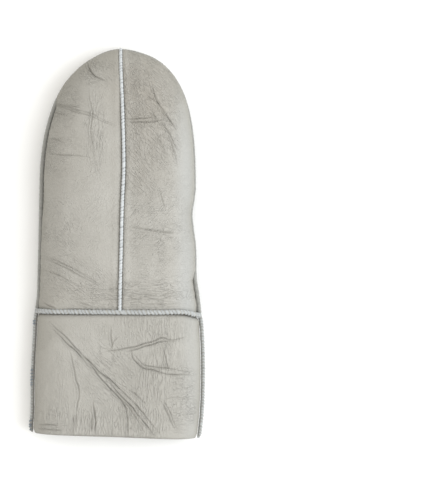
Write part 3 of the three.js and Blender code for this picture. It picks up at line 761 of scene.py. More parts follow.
def noise_of(tree, where, scale, detail, rough=0.5, distortion=0.0):
    node = tree.nodes.new("ShaderNodeTexNoise")
    set_inputs(tree, node, {"Vector": where, "Scale": scale, "Detail": detail, "Roughness": rough,
                            "Distortion": distortion})
    return node.outputs["Fac"]


def attribute_of(tree, name):
    node = tree.nodes.new("ShaderNodeAttribute")
    node.attribute_name = name
    return node.outputs["Fac"]


def mixed(tree, factor, a, b):
    """A colour between two, each given by its red, green and blue or by another node."""
    node = tree.nodes.new("ShaderNodeMix")
    node.data_type = "RGBA"
    a, b = ((*value, 1) if isinstance(value, tuple) else value for value in (a, b))
    set_inputs(tree, node, {"Factor": factor, 6: a, 7: b})
    return node.outputs[2]


def ramped(tree, value, low, high, to_low=0.0, to_high=1.0):
    node = tree.nodes.new("ShaderNodeMapRange")
    set_inputs(tree, node, {"Value": value, "From Min": low, "From Max": high, "To Min": to_low,
                            "To Max": to_high})
    return node.outputs["Result"]


def computed(tree, operation, a, b):
    node = tree.nodes.new("ShaderNodeMath")
    node.operation = operation
    set_inputs(tree, node, {0: a, 1: b})
    return node.outputs[0]


def wrinkle_height(tree, where):
    """Height from 0 to 1 of the finest wrinkles: valleys where stretched noise crosses its middle."""
    total = None
    for lie in WRINKLE_LIES:
        mapping = tree.nodes.new("ShaderNodeMapping")
        mapping.vector_type = "TEXTURE"
        set_inputs(tree, mapping, {"Vector": where, "Location": (0.1 * lie, 0.03 * lie, 0),
                                   "Rotation": (0, 0, math.radians(lie)), "Scale": (WRINKLE_STRETCH, 1, 1)})
        wave = noise_of(tree, mapping.outputs["Vector"], 1000 / WRINKLE_SIZE, 1, 0.5, 0.3)
        off = computed(tree, "ABSOLUTE", computed(tree, "SUBTRACT", wave, 0.5), 0.0)
        valley = ramped(tree, off, 0.0, 0.12, 1.0, 0.0)
        here = computed(tree, "MULTIPLY", valley, attribute_of(tree, f"wrinkle_{lie}"))
        total = here if total is None else computed(tree, "MAXIMUM", total, here)
    return total


def bumped(tree, height, strength, distance, normal=None):
    node = tree.nodes.new("ShaderNodeBump")
    set_inputs(tree, node, {"Height": height, "Strength": strength, "Distance": distance})
    if normal is not None:
        tree.links.new(normal, node.inputs["Normal"])
    return node.outputs["Normal"]


# Scales of the materials' patterns, in cells a metre
LEATHER_CLOUDS = 26
LEATHER_SPECKS = 700
LEATHER_SHINE = 160
LEATHER_PORES = 900
LEATHER_GRAIN = 800
THREAD_TINT = 420
THREAD_FIBRES = 2600
FLEECE_TINT = 180
FLEECE_CURLS = 900
FLEECE_HAIRS = 3500


def leather_material(name, light, dark, dull, cool, rim, fold):
    """Fine-grained satin leather. Attributes mark its darker, browner patches, the painted tint of the cool
    key light on its lit side, and painted shade at its edges, in its folds, beside its seams and at its hem.
    """
    material, tree, shader = new_material(name, {"Specular IOR Level": 0.35, "Sheen Weight": 0.08})
    where = place_on(tree)
    tint = mixed(tree, ramped(tree, noise_of(tree, where, LEATHER_CLOUDS, 4), 0.35, 0.65), light, dark)
    specks = ramped(tree, noise_of(tree, where, LEATHER_SPECKS, 3, 0.65), 0.3, 0.7, 0.0, 0.35)
    tint = mixed(tree, specks, tint, dark)
    # Darker, browner patches, the painted tint of the cool key light on the lit side, and painted shade at
    # the edges
    for mark, colour in (("dull", dull), ("cool", cool), ("rim", rim)):
        tint = mixed(tree, attribute_of(tree, mark), tint, colour)
    # Painted shade in the folds, beside the seams and at the hem
    tint = mixed(tree, ramped(tree, attribute_of(tree, "fold"), 0.0, 1.0, 0.0, 0.85), tint, fold)
    wrinkle = wrinkle_height(tree, where)
    # Painted shade in the finest wrinkles' valleys
    tint = mixed(tree, ramped(tree, wrinkle, 0.0, 1.0, 0.0, 0.17), tint, fold)
    rough = ramped(tree, noise_of(tree, where, LEATHER_SHINE, 3), 0.3, 0.7, 0.48, 0.64)
    pores = tree.nodes.new("ShaderNodeTexVoronoi")
    pores.feature = "DISTANCE_TO_EDGE"
    set_inputs(tree, pores, {"Vector": where, "Scale": LEATHER_PORES})
    normal = bumped(tree, ramped(tree, pores.outputs["Distance"], 0.0, 0.25), 0.7, 0.0002)
    normal = bumped(tree, noise_of(tree, where, LEATHER_GRAIN, 3, 0.6), 0.8, 0.0005, normal)
    normal = bumped(tree, computed(tree, "MULTIPLY", wrinkle, -1.0), 1.0, 0.0004, normal)
    set_inputs(tree, shader, {"Base Color": tint, "Roughness": rough, "Normal": normal})
    return material


def thread_material(name, light, dark, rough=0.75):
    """Pale thread, or the suede of a cut edge, with fine fibres."""
    material, tree, shader = new_material(name, {"Roughness": rough, "Sheen Weight": 0.2})
    where = place_on(tree)
    tint = mixed(tree, ramped(tree, noise_of(tree, where, THREAD_TINT, 3), 0.3, 0.7), light, dark)
    normal = bumped(tree, noise_of(tree, where, THREAD_FIBRES, 3, 0.7), 0.5, 0.0002)
    set_inputs(tree, shader, {"Base Color": tint, "Normal": normal})
    return material


def fleece_material(name, light, dark):
    """Curly clipped wool."""
    inputs = {"Roughness": 0.95, "Sheen Weight": 0.6, "Sheen Roughness": 0.5}
    material, tree, shader = new_material(name, inputs)
    where = place_on(tree)
    tint = mixed(tree, ramped(tree, noise_of(tree, where, FLEECE_TINT, 5, 0.65), 0.32, 0.68), light, dark)
    normal = bumped(tree, noise_of(tree, where, FLEECE_CURLS, 5, 0.75), 0.9, 0.0008)
    normal = bumped(tree, noise_of(tree, where, FLEECE_HAIRS, 3, 0.75), 0.6, 0.0003, normal)
    set_inputs(tree, shader, {"Base Color": tint, "Normal": normal})
    return material


# The colours are the leather's two tones, then that of its darker, browner patches, the painted tint of the
# cool key light on the lit right side, the painted shade at its edges, and the painted shade in its grooves,
# wrinkles, beside its seams and at its hem.
LEATHER = leather_material("sheepskin_leather", light=(0.448, 0.434, 0.40), dark=(0.406, 0.392, 0.358),
                           dull=(0.362, 0.338, 0.297), cool=(0.432, 0.434, 0.42), rim=(0.305, 0.292, 0.253),
                           fold=(0.13, 0.12, 0.10))
BRIGHT_THREAD = thread_material("bright_thread", (0.61, 0.63, 0.64), (0.49, 0.51, 0.525))
BRIGHT_CORE = thread_material("bright_core", (0.50, 0.52, 0.53), (0.39, 0.405, 0.415), 0.9)
PALE_THREAD = thread_material("pale_thread", (0.46, 0.475, 0.475), (0.36, 0.372, 0.375))
DARK_THREAD = thread_material("dark_thread", (0.20, 0.24, 0.28), (0.12, 0.14, 0.17))
# Painted shadow on the cuff seam's ridge, on its side towards the hem between the stitches
PAINTED_SHADOW_EDGE = thread_material("painted_shadow_edge", (0.17, 0.165, 0.145), (0.12, 0.117, 0.10), 0.9)
SHADED_EDGE = thread_material("shaded_edge", (0.33, 0.33, 0.31), (0.25, 0.25, 0.235), 0.9)
CUT_EDGE = thread_material("cut_edge", (0.48, 0.478, 0.45), (0.38, 0.375, 0.345), 0.9)
FLEECE = fleece_material("fleece", (0.78, 0.76, 0.71), (0.58, 0.56, 0.51))


# How far the painted shade at the edges reaches from the left and right side seams, and where the leather
# gets the painted tint of the cool key light towards the right, in millimetres
EDGE_SHADE_REACH = {-1: 6.0, 1: 2.6}
KEY_TINT_FROM = 36.0
KEY_TINT_REACH = 14.0

# Where the shade at the side seams starts, as a share of the turn, and how far on it is full
RIM_SHADE_FROM = 0.965
RIM_SHADE_REACH = 0.03

# At which share of the height the leather bulges most over the side seam, and the value of its curve there
BULGE_AT = 0.28
BULGE_TOP = 0.75

# Up to which height the palm lies on the table and has no lumps that stand out, and how far its hole stays
# inside the thumb's outline
TABLE_REACH = 1.2
HOLE_INSET = 0.8

# How much fuller the back is beside its left and right side seams than the plain section, in millimetres
PLUMPNESS = {-1: 1.7, 1: 0.3}

# How far the edge at the finger tips stays behind the outline, how much more beside the middle, and where
# that is most, then up to which x and from which y on, each with how far it fades over
TIP_BACK = 0.9
TIP_MORE = 1.3
TIP_BESIDE = 18.0
TIP_SIDE_END = 50.0
TIP_SIDE_FADE = 20.0
TIP_START = 140.0
TIP_RISE = 30.0

# Where the back's leather bulges out over the side seams. Columns: side, how far at most, the y where it
# starts and over how much it grows, and the y where it ends and over how much it fades, in millimetres
BULGES = [
    (-1, 2.9, 143, 9, math.inf, 1),
    (-1, 1.1, 0, 8, 85, 25),
    (1, 2.3, 19, 12, math.inf, 1),
    (1, 0.6, 120, 30, math.inf, 1),
]


def tip_shyness(x, y):
    """How far the edge at the finger tips stays behind the outline."""
    beside = (np.abs(x) / TIP_BESIDE) ** 2
    at_side = ease((TIP_SIDE_END - np.abs(x)) / TIP_SIDE_FADE)
    return (TIP_BACK + TIP_MORE * beside * np.exp(1 - beside)) * at_side * ease((y - TIP_START) / TIP_RISE)


def overhang(x, y):
    """How far the back's leather bulges out over the side seam."""
    total = 0
    for side, most, start, growth, end, fade in BULGES:
        total = total + most * ease((y - start) / growth) * ease((end - y) / fade) * ((x > 0) == (side > 0))
    return total - tip_shyness(x, y)


def hand_back_panel(name, node, sign):
    turns = np.sort(sign * even_turns(HAND_WIDTH / 2, BACK_STEP, RIM_STEPS))
    low_rows = spread(LOWEST_TURN + GAP / DOME_LENGTH, 0, BACK_ROWS)[:-1]
    rows = joined(low_rows, even_turns(DOME_LENGTH, DOME_STEP, TIP_STEPS))
    base = hand_back(turns[None, :], rows[:, None])
    normal = normals_of(base)
    x, y = base[..., 0], base[..., 1]
    up = np.maximum(rows, 0)[:, None]
    a, b = np.sin(turns)[None, :], np.sin(up)
    off_centre = np.abs(a) * hand_half_width(np.full(y.shape, sign > 0), y)
    from_side = (1 - np.hypot(a * np.sqrt(1 - b * b / 2), b * np.sqrt(1 - a * a / 2))) * HAND_WIDTH / 2
    to_left = clipped(-x / 45)
    rim = np.maximum(np.abs(turns)[None, :], rows[:, None]) / RIGHT_ANGLE
    swelling = swell(np.cos(turns)[None, :] * np.cos(up), BACK_SQUARENESS)
    height, shade, wrinkles = relief(x, y, HAND_FOLDS, HAND_RIPPLES, 211)
    height = height * inside(rim, 0.07)
    height += soft_lumps(x, y, 31) * inside(rim, 0.16) * clipped(off_centre / 6) * clipped(y / 8)
    height += beside_seam(off_centre, dip=1.0, dip_reach=1.5, swelling=0.5, at=4.2, reach=2.4)
    height += beside_seam(y, dip=0.3 + 0.8 * to_left, dip_reach=1.7, swelling=0.4, at=4.8, reach=2.6)
    height += puckers(y, off_centre, 41) + puckers(x, y, 47, reach=4.0)
    height += puckers(y * 0.8, swelling * 14, 49, size=0.18, reach=5.0) * inside(rim, 0.04)
    point = base + normal * height[..., None]
    point[..., 2] += PLUMPNESS[sign] * bell((from_side - 13) / 9) * clipped(from_side / 5)
    level = normal * [1, 1, 0]
    level /= np.maximum(np.linalg.norm(level, axis=-1, keepdims=True), 1e-6)
    bulge = swelling / BULGE_AT * np.exp(1 - swelling / BULGE_AT) * (1 - swelling) / BULGE_TOP
    point += level * (bulge * overhang(sign * np.abs(x), y))[..., None]
    point[..., 0] += sign * GAP / 2
    piece = leather_panel(name, node, point)
    # Painted shade beside the centre, cuff and side seams, in the folds and at the edges, darker browner
    # patches, and the painted tint of the cool key light on the lit right side
    by_centre = 0.9 * bell(off_centre / 1.35, 4)
    by_cuff = (0.04 + 0.56 * to_left) * bell(y / 2.3, 4)
    by_rim = 0.6 * clipped((rim - RIM_SHADE_FROM) / RIM_SHADE_REACH)
    set_shades(piece, wrinkles, fold=shade + by_centre + by_cuff + by_rim, dull=dullness(x, y),
               rim=np.exp(-from_side / EDGE_SHADE_REACH[sign]),
               cool=ease((x - KEY_TINT_FROM) / KEY_TINT_REACH) * ease((from_side + 2) / 4))


def palm_piece():
    turns = np.radians(joined([-90, -87, -84, -80], spread(-76, 76, 84), [80, 84, 87, 90]))
    low_rows = spread(LOWEST_TURN + GAP / DOME_LENGTH, 0, PLAIN_ROWS)[:-1]
    rows = joined(low_rows, spread(0, RIGHT_ANGLE, PLAIN_ROWS))
    base = hand_palm(turns[None, :], rows[:, None])
    normal = -normals_of(base)
    x, y, z = base[..., 0], base[..., 1], base[..., 2]
    rim = np.maximum(np.abs(turns)[None, :], rows[:, None]) / RIGHT_ANGLE
    tx, ty = to_thumb(x, y)
    from_hole = np.hypot(tx / THUMB_HALF_WIDTH, (ty + HOLE_HALF_LENGTH) / HOLE_HALF_LENGTH) * THUMB_HALF_WIDTH
    lumps = 0.45 * soft_lumps(x, y, 71) * inside(rim, 0.16) * clipped(y / 8)
    lumps = lumps * clipped((from_hole - THUMB_HALF_WIDTH) / 6)
    lumps = np.where(z < TABLE_REACH, np.minimum(lumps, 0), lumps + puckers(x, y, 83, reach=4.0))
    point = base + normal * lumps[..., None]
    faces = grid_faces(point, True)
    across = tx.ravel()[faces].mean(1) / (THUMB_HALF_WIDTH - HOLE_INSET)
    lengthwise = (ty.ravel()[faces].mean(1) + HOLE_HALF_LENGTH) / (HOLE_HALF_LENGTH - HOLE_INSET)
    is_hole = np.hypot(across, lengthwise) < 1
    piece = new_piece("palm_leather", point, faces[~is_hole], [LEATHER], ["palm"])
    # Painted shade beside the cuff seam and at the edges
    set_shades(piece, fold=0.6 * bell(y / 1.9, 4), rim=clipped((rim - 0.8) / 0.2) ** 2)


def cuff_piece(name, node, surface, outwards, is_back):
    """A cuff panel, round its hem and up its inside. outwards is 1 where the panel faces up."""
    right_turns = even_turns(CUFF_WIDTH / 2, BACK_STEP if is_back else PLAIN_STEP, RIM_STEPS)
    turns = joined(-right_turns[:0:-1], right_turns)
    half_hem = HEM_THICKNESS / 2
    last = 1 - half_hem / CUFF_LENGTH
    outer = spread(GAP / CUFF_LENGTH, last, BACK_ROWS if is_back else PLAIN_ROWS)
    around = np.radians(spread(0, 180, HEM_STEPS))[1:-1]
    inner = spread(last, 1 - HEM_DEPTH / CUFF_LENGTH, HEM_ROWS)
    depths = joined(outer, last + 0 * around, inner)
    inset = joined(0 * outer, half_hem * (1 - np.cos(around)), 0 * inner + HEM_THICKNESS)
    past = joined(0 * outer, half_hem * np.sin(around), 0 * inner)
    outside = joined(0 * outer + 1, np.cos(around / 2) ** 2, 0 * inner)[:, None]
    base = surface(turns[None, :], depths[:, None])
    normals = normals_of(surface(turns[None, :], spread(0, 1, NORMAL_ROWS)[:, None]))
    normal = -outwards * normals[np.round(clipped(depths) * NORMAL_ROWS).astype(int)]
    x, y = base[..., 0], base[..., 1]
    down = -y - seam_dip(x)
    rim = np.abs(turns)[None, :] / RIGHT_ANGLE + 0 * y
    if is_back:
        height, shade, wrinkles = relief(x, y, CUFF_FOLDS, CUFF_RIPPLES, 411)
        height = height * inside(rim, 0.05)
        height += soft_lumps(x, y, 53) * 0.8 * inside(rim, 0.14) * clipped(down / 8)
        height += puckers(x, down, 61, size=0.22)
    else:
        height, shade, wrinkles = np.minimum(0.3 * soft_lumps(x, y, 59) * inside(rim, 0.14), 0), 0 * x, None
    height += beside_seam(down, dip=1.3, dip_reach=2.1, swelling=0.45, at=5.0, reach=2.6)
    point = base + normal * (height * outside - inset[:, None])[..., None]
    point[..., 1] -= past[:, None]
    piece = leather_panel(name, node, point, outwards > 0)
    # Painted shade at the side seams, beside the cuff seam, in the folds, at the hem's edge and at the edges,
    # and the painted tint of the cool key light on the right
    by_rim = np.where(x < 0, 0.5, 0.25) * clipped((rim - RIM_SHADE_FROM) / RIM_SHADE_REACH)
    by_hem = 0.55 * bell((past - 0.85 * half_hem) / (0.25 * half_hem))[:, None]
    from_side = (1 - np.abs(np.sin(turns))[None, :]) * CUFF_WIDTH / 2 + 0 * y
    set_shades(piece, wrinkles, fold=(shade + (bell(down / 2.4, 4) + by_rim)) * outside + by_hem,
               rim=np.exp(-from_side / np.where(x < 0, EDGE_SHADE_REACH[-1], EDGE_SHADE_REACH[1])),
               cool=0.5 * ease((x - KEY_TINT_FROM - 4) / KEY_TINT_REACH))


def thumb_piece(name, node, start, end, apart):
    turns = spread(start, end, THUMB_STEPS)
    collar, bend = spread(0, COLLAR_END, 6)[:-1], spread(COLLAR_END, THUMB_TURN_END, 30)[:-1]
    rows = joined(collar, bend, spread(THUMB_TURN_END, 0.9998, 60))
    base = thumb_point(turns[None, :], rows[:, None], apart)
    from_seam = clipped(np.minimum(turns - start, end - turns) / 0.5)[None, :]
    from_ends = clipped((rows - COLLAR_END) / 0.1) * inside(rows, 0.1)
    lumps = 0.5 * soft_lumps(base[..., 0] * 1.6 + (90 if apart > 0 else 0), base[..., 1] * 1.6, 91)
    lumps = np.minimum(lumps * from_seam * from_ends[:, None], 0.1)
    point = thumb_in_place(base - normals_of(base) * lumps[..., None])
    piece = leather_panel(name, node, point, True)
    # Painted shade beside the thumb's seams
    set_shades(piece, fold=0 * lumps, rim=(1 - from_seam) ** 2 + 0 * lumps)


# The sizes of the fleece's curls with the height that each adds, and how far it stands off the wall
FLEECE_CURL_SIZES = ((5.5, 2.2), (2.8, 1.6), (1.4, 0.8))
FLEECE_LIFT = 0.4


def fleece_piece(name, surface, rows, facing, seed, last_turn=RIGHT_ANGLE):
    """Tufts on the inside of a surface. facing is 1 where its grid's normal points up and out."""
    turns = spread(-last_turn, last_turn, FLEECE_STEPS)
    base = surface(turns[None, :], rows[:, None])
    x, y = base[..., 0] + 7 * seed, base[..., 1]
    curls = enumerate(FLEECE_CURL_SIZES)
    tufts = sum(share * np.abs(noise2(x, y, size, seed + k)) for k, (size, share) in curls)
    point = base - normals_of(base) * facing * (WALL + FLEECE_LIFT + tufts)[..., None]
    new_piece(name, point, grid_faces(point, facing > 0), [FLEECE])


def resampled(line, step):
    lengths = joined([0], np.cumsum(np.linalg.norm(np.diff(line, axis=0), axis=1)))
    at = spread(0, lengths[-1], max(2, int(round(lengths[-1] / step))))
    return np.stack([np.interp(at, lengths, line[:, k]) for k in range(3)], -1), at


def unit(vectors):
    return vectors / np.linalg.norm(vectors, axis=-1, keepdims=True)


def at_places(places, at, values):
    return np.stack([np.interp(places, at, values[:, k]) for k in range(3)], -1)


# How far a stitch goes round its ridge to each side, its points, the sides of its thread, at which share of
# the ridge's radius its underside lies, and the ridge's sides, its step and the length of its rounded ends
STITCH_TURN = math.radians(118)
STITCH_POINTS = 13
THREAD_SIDES = 8
STITCH_SUNK = 0.9
RIDGE_SIDES = 16
RIDGE_STEP = 0.65
RIDGE_END = 2.6


def around_of(sides):
    return np.linspace(0, 2 * np.pi, sides + 1)[:-1]


def stitch_rings(along_seam, at, centre, up, side, body, outer, lean, half_width):
    """Rings of points of one stitch: a flattened thread over the ridge, which leans along the seam."""
    turn = np.linspace(-STITCH_TURN, STITCH_TURN, STITCH_POINTS)
    around = around_of(THREAD_SIDES)
    taper = np.clip(1.03 - np.abs(turn / turn[-1]) ** 5, 0.05, 1)
    places = np.clip(along_seam + lean * np.sin(turn) / 2, 0, at[-1])
    middle = at_places(places, at, centre)
    sunk = body * STITCH_SUNK
    high = (outer - sunk) / 2
    ups, sides = at_places(places, at, up), at_places(places, at, side)
    reach = np.cos(turn)[:, None] * ups + np.sin(turn)[:, None] * sides
    path = middle + (sunk + high) * reach
    way = unit(np.gradient(path, axis=0))
    away = unit(reach - (reach * way).sum(1, keepdims=True) * way)
    beside = np.cross(way, away)
    thick = (high * np.sqrt(taper))[:, None] * np.cos(around)[None, :]
    broad = (half_width * taper)[:, None] * np.sin(around)[None, :]
    return path[:, None, :] + thick[..., None] * away[:, None, :] + broad[..., None] * beside[:, None, :]


# Places in a seam's list of materials
CORE_KIND, THREAD_KIND, DARK_KIND, SHADED_KIND = 0, 1, 2, 3


def seam_piece(name, node, line, ups, look, seed, rounded=(False, False), dark=()):
    """A ridge of two skin edges along a line, with overcast stitches wrapped round it.

    ups point out of the leather. The look gives the ridge's radius and how far the stitches stand off it, the
    pitch, how far a stitch leans along the seam and half its width in pitches, how uneven the stitches are,
    the materials, and whether the ridge's side towards the hem gets painted shadow. rounded says whether the
    first and last ends are rounded off, and dark lists stretches of the photo's rows where the thread is
    dark.
    """
    centre, at = resampled(line, RIDGE_STEP)
    ups = at_places(spread(0, 1, len(centre) - 1), spread(0, 1, len(ups) - 1), ups)
    way = unit(np.gradient(centre, axis=0))
    up = unit(ups - (ups * way).sum(1, keepdims=True) * way)
    side = np.cross(way, up)
    rng = np.random.default_rng(seed)
    pitch = look["pitch"]
    count = int(at[-1] / pitch)
    start = (at[-1] - (count - 1) * pitch) / 2
    around = around_of(RIDGE_SIDES)
    phase = (at[:, None] - start + look["lean"] * pitch * np.sin(around) / 2) / pitch
    from_start = at if rounded[0] else 0 * at + RIDGE_END
    from_end = at[-1] - at if rounded[1] else 0 * at + RIDGE_END
    rounding = np.sqrt(clipped(np.minimum(from_start, from_end) / RIDGE_END + 0.01))[:, None]
    lumpy = (1 + 0.07 * np.cos(2 * np.pi * phase)) * (1 + 0.07 * noise2(at[:, None], around * 3, 1.3, seed))
    ridge = look["body"] * lumpy * rounding
    ring = (centre[:, None, :] + (ridge * np.cos(around))[..., None] * up[:, None, :]
            + (ridge * np.sin(around))[..., None] * side[:, None, :])
    points = [ring.reshape(-1, 3)]
    faces = [tube_faces(*ring.shape[:2], 0, True)]
    # Faces of the ridge turned towards the hem get painted shadow, where the look asks for it
    turned_down = (np.sin(around + around[1] / 2) > 0.6) & bool(look.get("shaded"))
    kinds = [np.tile(np.where(turned_down, SHADED_KIND, CORE_KIND), len(centre) - 1)]
    total = len(points[0])
    for k in range(count):
        here = start + (k + rng.normal() * look["uneven"]) * pitch
        row = SEAM_MIDDLE_PX[1] - np.interp(here, at, centre[:, 1]) / SCALE
        is_dark = any(low < row < high for low, high in dark)
        body = look["body"] * np.interp(here, at, rounding[:, 0])
        outer = (body + look["stands"] * rng.uniform(0.8, 1.15)) * (1.12 if is_dark else 1)
        half_width = look["wide"] * pitch * (1 + look["uneven"] * rng.uniform(-2, 1.4))
        lean = look["lean"] * pitch * (1 + 2 * look["uneven"] * rng.normal())
        rings = stitch_rings(here, at, centre, up, side, body, outer, lean, half_width)
        points.append(rings.reshape(-1, 3))
        faces.append(tube_faces(*rings.shape[:2], total, False))
        kinds.append(np.full(len(faces[-1]), DARK_KIND if is_dark else THREAD_KIND))
        total += len(points[-1])
    # The last material is the painted shadow for the ridge's side towards the hem
    materials = [look["core"], look["thread"], DARK_THREAD, PAINTED_SHADOW_EDGE]
    new_piece(name, np.vstack(points), np.vstack(faces), materials, [node], np.concatenate(kinds))


def out_in_plan(line):
    """Level directions away from the mitten along a line that runs clockwise round it, seen from above."""
    way = np.gradient(line, axis=0)
    return unit(xyz(-way[:, 1], way[:, 0], 0))


CENTRE_LOOK = dict(body=0.98, stands=0.26, pitch=2.3, lean=0.5, wide=0.46, uneven=0.07,
                   thread=BRIGHT_THREAD, core=BRIGHT_CORE)
CUFF_LOOK = dict(body=1.5, stands=0.36, pitch=2.67, lean=0.7, wide=0.35, uneven=0.09,
                 thread=PALE_THREAD, core=CUT_EDGE, shaded=True)
SIDE_LOOK = dict(body=1.5, stands=0.05, pitch=2.1, lean=0.3, wide=0.24, uneven=0.12,
                 thread=SHADED_EDGE, core=SHADED_EDGE)
CUFF_RIGHT_LOOK = dict(body=1.3, stands=0.3, pitch=2.1, lean=0.4, wide=0.3, uneven=0.12,
                       thread=PALE_THREAD, core=SHADED_EDGE)
CUFF_LEFT_LOOK = dict(CUFF_RIGHT_LOOK, wide=0.26)
THUMB_LOOK = dict(SIDE_LOOK, body=0.95, stands=0.14, thread=PALE_THREAD)

# How many steps the seams along an edge, round the hand and round a ring have
EDGE_STEPS = 240
SIDE_STEPS = 300
RING_STEPS = 160

# Where the seams start and end beside their panels' edges, how far their middles stand over the leather, how
# far the centre seam stands past the tip, and how far the cuff seam is moved up, in millimetres
SEAM_START = 1.3
CENTRE_START = 1.0
CUFF_SEAM_END = 2.2
CENTRE_LIFT = 0.75
CUFF_SEAM_LIFT = 1.3
CENTRE_PAST_TIP = 1.2
CUFF_SEAM_SHIFT = 0.45


def centre_seam():
    """The seam along the back, from the cuff seam to a little past the tip."""
    rows = spread(LOWEST_TURN + CENTRE_START / DOME_LENGTH, RIGHT_ANGLE * 0.985, EDGE_STEPS)
    strip = hand_back(np.array([-0.02, 0.0, 0.02])[None, :], rows[:, None])
    ups = normals_of(strip)[:, 1]
    line = strip[:, 1] + ups * CENTRE_LIFT
    line[:, 1] += CENTRE_PAST_TIP * ease((rows / RIGHT_ANGLE - 0.75) / 0.23)
    seam_piece("centre_seam_thread", "centre_seam", line, ups, CENTRE_LOOK, 101, (False, True))


def side_seam():
    first_turn = LOWEST_TURN + SEAM_START / DOME_LENGTH
    left = hand_place(-RIGHT_ANGLE, spread(first_turn, RIGHT_ANGLE, SIDE_STEPS))
    tip = hand_place(spread(-RIGHT_ANGLE, RIGHT_ANGLE, SIDE_STEPS)[1:-1], RIGHT_ANGLE)
    right = hand_place(RIGHT_ANGLE, spread(RIGHT_ANGLE, first_turn, SIDE_STEPS))
    x, y = (joined(left[k], tip[k], right[k]) for k in (0, 1))
    line = xyz(x, y, rim_height_at(x, y) + GAP / 2)
    out = out_in_plan(line)
    away = SIDE_BEAD + GAP / 2 - tip_shyness(x, y)
    seam_piece("side_seam_thread", "side_seam", line + out * away[:, None], out, SIDE_LOOK, 102)


# Rows of the photo between which the cuff's left seam has dark thread
DARK_STRETCHES = [(321, 326), (369, 387), (421, 433)]


def cuff_side_seam(name, node, sign, seed, dark):
    depths = spread(1 - CUFF_SEAM_END / CUFF_LENGTH, SEAM_START / CUFF_LENGTH, EDGE_STEPS)
    x, y, _ = cuff_place(sign * RIGHT_ANGLE, depths)
    line = xyz(x, y, rim_height_at(x, y) + GAP / 2)
    line = line if sign < 0 else line[::-1]
    out = out_in_plan(line)
    line = line + out * (SIDE_BEAD + GAP / 2)
    look = CUFF_LEFT_LOOK if sign < 0 else CUFF_RIGHT_LOOK
    seam_piece(name, node, line, out, look, seed, (sign < 0, sign > 0), dark)


def cuff_seam():
    turns = spread(-RIGHT_ANGLE, RIGHT_ANGLE, RING_STEPS)

    def half_ring(on_hand, on_cuff):
        hand_rows = np.array([LOWEST_TURN, LOWEST_TURN + 0.01])
        by_hand = normals_of(on_hand(turns[None, :], hand_rows[:, None]))[0]
        by_cuff = normals_of(on_cuff(turns[None, :], np.array([0.012, 0.0])[:, None]))[1]
        return on_cuff(turns, 0.0), unit(by_hand + by_cuff)

    top, top_ups = half_ring(hand_back, cuff_back)
    under, under_ups = half_ring(hand_palm, cuff_palm)
    line = np.vstack([top, under[::-1][1:-1], top[:1]])
    ups = np.vstack([top_ups, -under_ups[::-1][1:-1], top_ups[:1]])
    line = line + ups * CUFF_SEAM_LIFT
    rising = ease((line[:, 0] + 50) / 40) + 0.8 * ease((line[:, 0] - 25) / 20)
    line[:, 1] += CUFF_SEAM_SHIFT * rising * (1 - ease((line[:, 0] - 46) / 7))
    seam_piece("cuff_seam_thread", "cuff_seam", line, ups, CUFF_LOOK, 105)


def thumb_seam():
    up = spread(COLLAR_END * 1.5, 0.999, RING_STEPS)
    up_and_down = joined(up, up[-2::-1])
    turn_round = np.where(np.arange(len(up_and_down)) < len(up), math.pi, 0.0)
    line = thumb_in_place(thumb_point(turn_round, up_and_down))
    out = out_in_plan(line)
    seam_piece("thumb_seam_thread", "thumb_seam", line + out * (THUMB_BEAD + GAP), out, THUMB_LOOK, 106)


def thumb_base_seam():
    turn_round = spread(0, 2 * math.pi, RING_STEPS)
    reach = THUMB_BEAD + 1.5 * GAP
    x = (THUMB_HALF_WIDTH + reach) * np.cos(turn_round)
    y = (HOLE_HALF_LENGTH + reach) * np.sin(turn_round) - HOLE_HALF_LENGTH
    line = thumb_in_place(xyz(x, y, palm_above(x, y) - THUMB_BEAD))
    seam_piece("thumb_base_seam_thread", "thumb_base_seam", line, -out_in_plan(line), THUMB_LOOK, 107)


hand_back_panel("back_left_leather", "back_left", -1)
hand_back_panel("back_right_leather", "back_right", 1)
palm_piece()
cuff_piece("cuff_back_leather", "cuff_back", cuff_back, 1, True)
cuff_piece("cuff_palm_leather", "cuff_palm", cuff_palm, -1, False)
thumb_piece("thumb_inner_leather", "thumb_inner", 0, math.pi, GAP / 2)
thumb_piece("thumb_outer_leather", "thumb_outer", math.pi, 2 * math.pi, -GAP / 2)

cuff_rows = spread(0.004, 1 - (HEM_DEPTH - 1) / CUFF_LENGTH, 70)
hand_rows = joined(spread(LOWEST_TURN, 0, 90)[:-1], spread(0, RIGHT_ANGLE * 0.97, 80))
fleece_piece("fleece_cuff_back", cuff_back, cuff_rows, -1, 5)
fleece_piece("fleece_cuff_palm", cuff_palm, cuff_rows, 1, 6)
fleece_piece("fleece_hand_back", hand_back, hand_rows, 1, 7)
fleece_piece("fleece_hand_palm", hand_palm, hand_rows, -1, 8, math.radians(66))

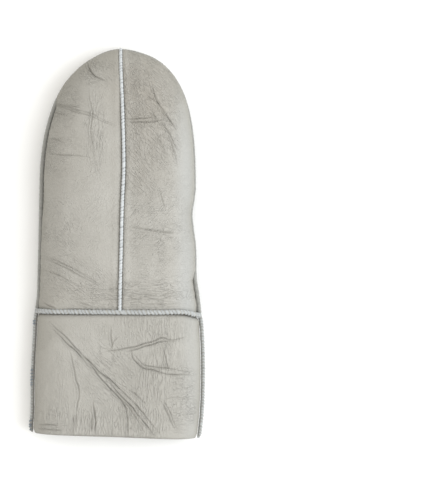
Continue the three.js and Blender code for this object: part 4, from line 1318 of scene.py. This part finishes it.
centre_seam()
side_seam()
cuff_side_seam("cuff_left_seam_thread", "cuff_left_seam", -1, 103, DARK_STRETCHES)
cuff_side_seam("cuff_right_seam_thread", "cuff_right_seam", 1, 104, [])
cuff_seam()
thumb_seam()
thumb_base_seam()


# The floor's side in metres, and the colours and strength of the floor and the world
FLOOR_SIZE = 6
FLOOR_COLOUR = (0.96, 0.96, 0.955, 1)
WORLD_COLOUR = (1, 0.982, 0.94, 1)
WORLD_STRENGTH = 0.91


def floor():
    bpy.ops.mesh.primitive_plane_add(size=FLOOR_SIZE)
    plane = bpy.context.object
    plane.name = "floor"
    inputs = {"Base Color": FLOOR_COLOUR, "Roughness": 0.9, "Specular IOR Level": 0.1}
    material, _, _ = new_material("pale_floor", inputs)
    plane.data.materials.append(material)


def soft_light(name, place, size, power, colour):
    """A round area light that points at the mitten, with its place and size in metres."""
    data = bpy.data.lights.new(name, "AREA")
    data.shape = "DISK"
    data.size = size
    data.energy = power
    data.color = colour
    lamp = new_object(name, data)
    lamp.location = place
    x, y, z = place
    lamp.rotation_euler = (math.atan2(math.hypot(x, y), z), 0, math.atan2(x, -y))


def studio():
    world = bpy.data.worlds.new("studio")
    world.use_nodes = True
    background = world.node_tree.nodes["Background"]
    set_inputs(world.node_tree, background, {"Color": WORLD_COLOUR, "Strength": WORLD_STRENGTH})
    scene = bpy.context.scene
    scene.world = world
    scene.view_settings.view_transform = "Standard"
    soft_light("key", place=(1.5, -0.15, 1.35), size=1.8, power=26, colour=(0.89, 0.945, 1))
    soft_light("top", place=(0.1, 0.1, 2.0), size=1.2, power=6, colour=(1, 1, 1))


def camera():
    """Straight above the middle of the photo, at the height that gives its scale at the rim's height."""
    data = bpy.data.cameras.new("camera")
    data.lens = LENS
    data.sensor_width = SENSOR
    eye = new_object("camera", data)
    x = (PHOTO_WIDTH / 2 - SEAM_MIDDLE_PX[0]) * SCALE
    y = (SEAM_MIDDLE_PX[1] - PHOTO_HEIGHT / 2) * SCALE
    eye.location = (np.array([x, y, CAMERA_DISTANCE + RIM_HEIGHT]) + SHIFT) * 0.001
    bpy.context.scene.camera = eye


floor()
studio()
camera()
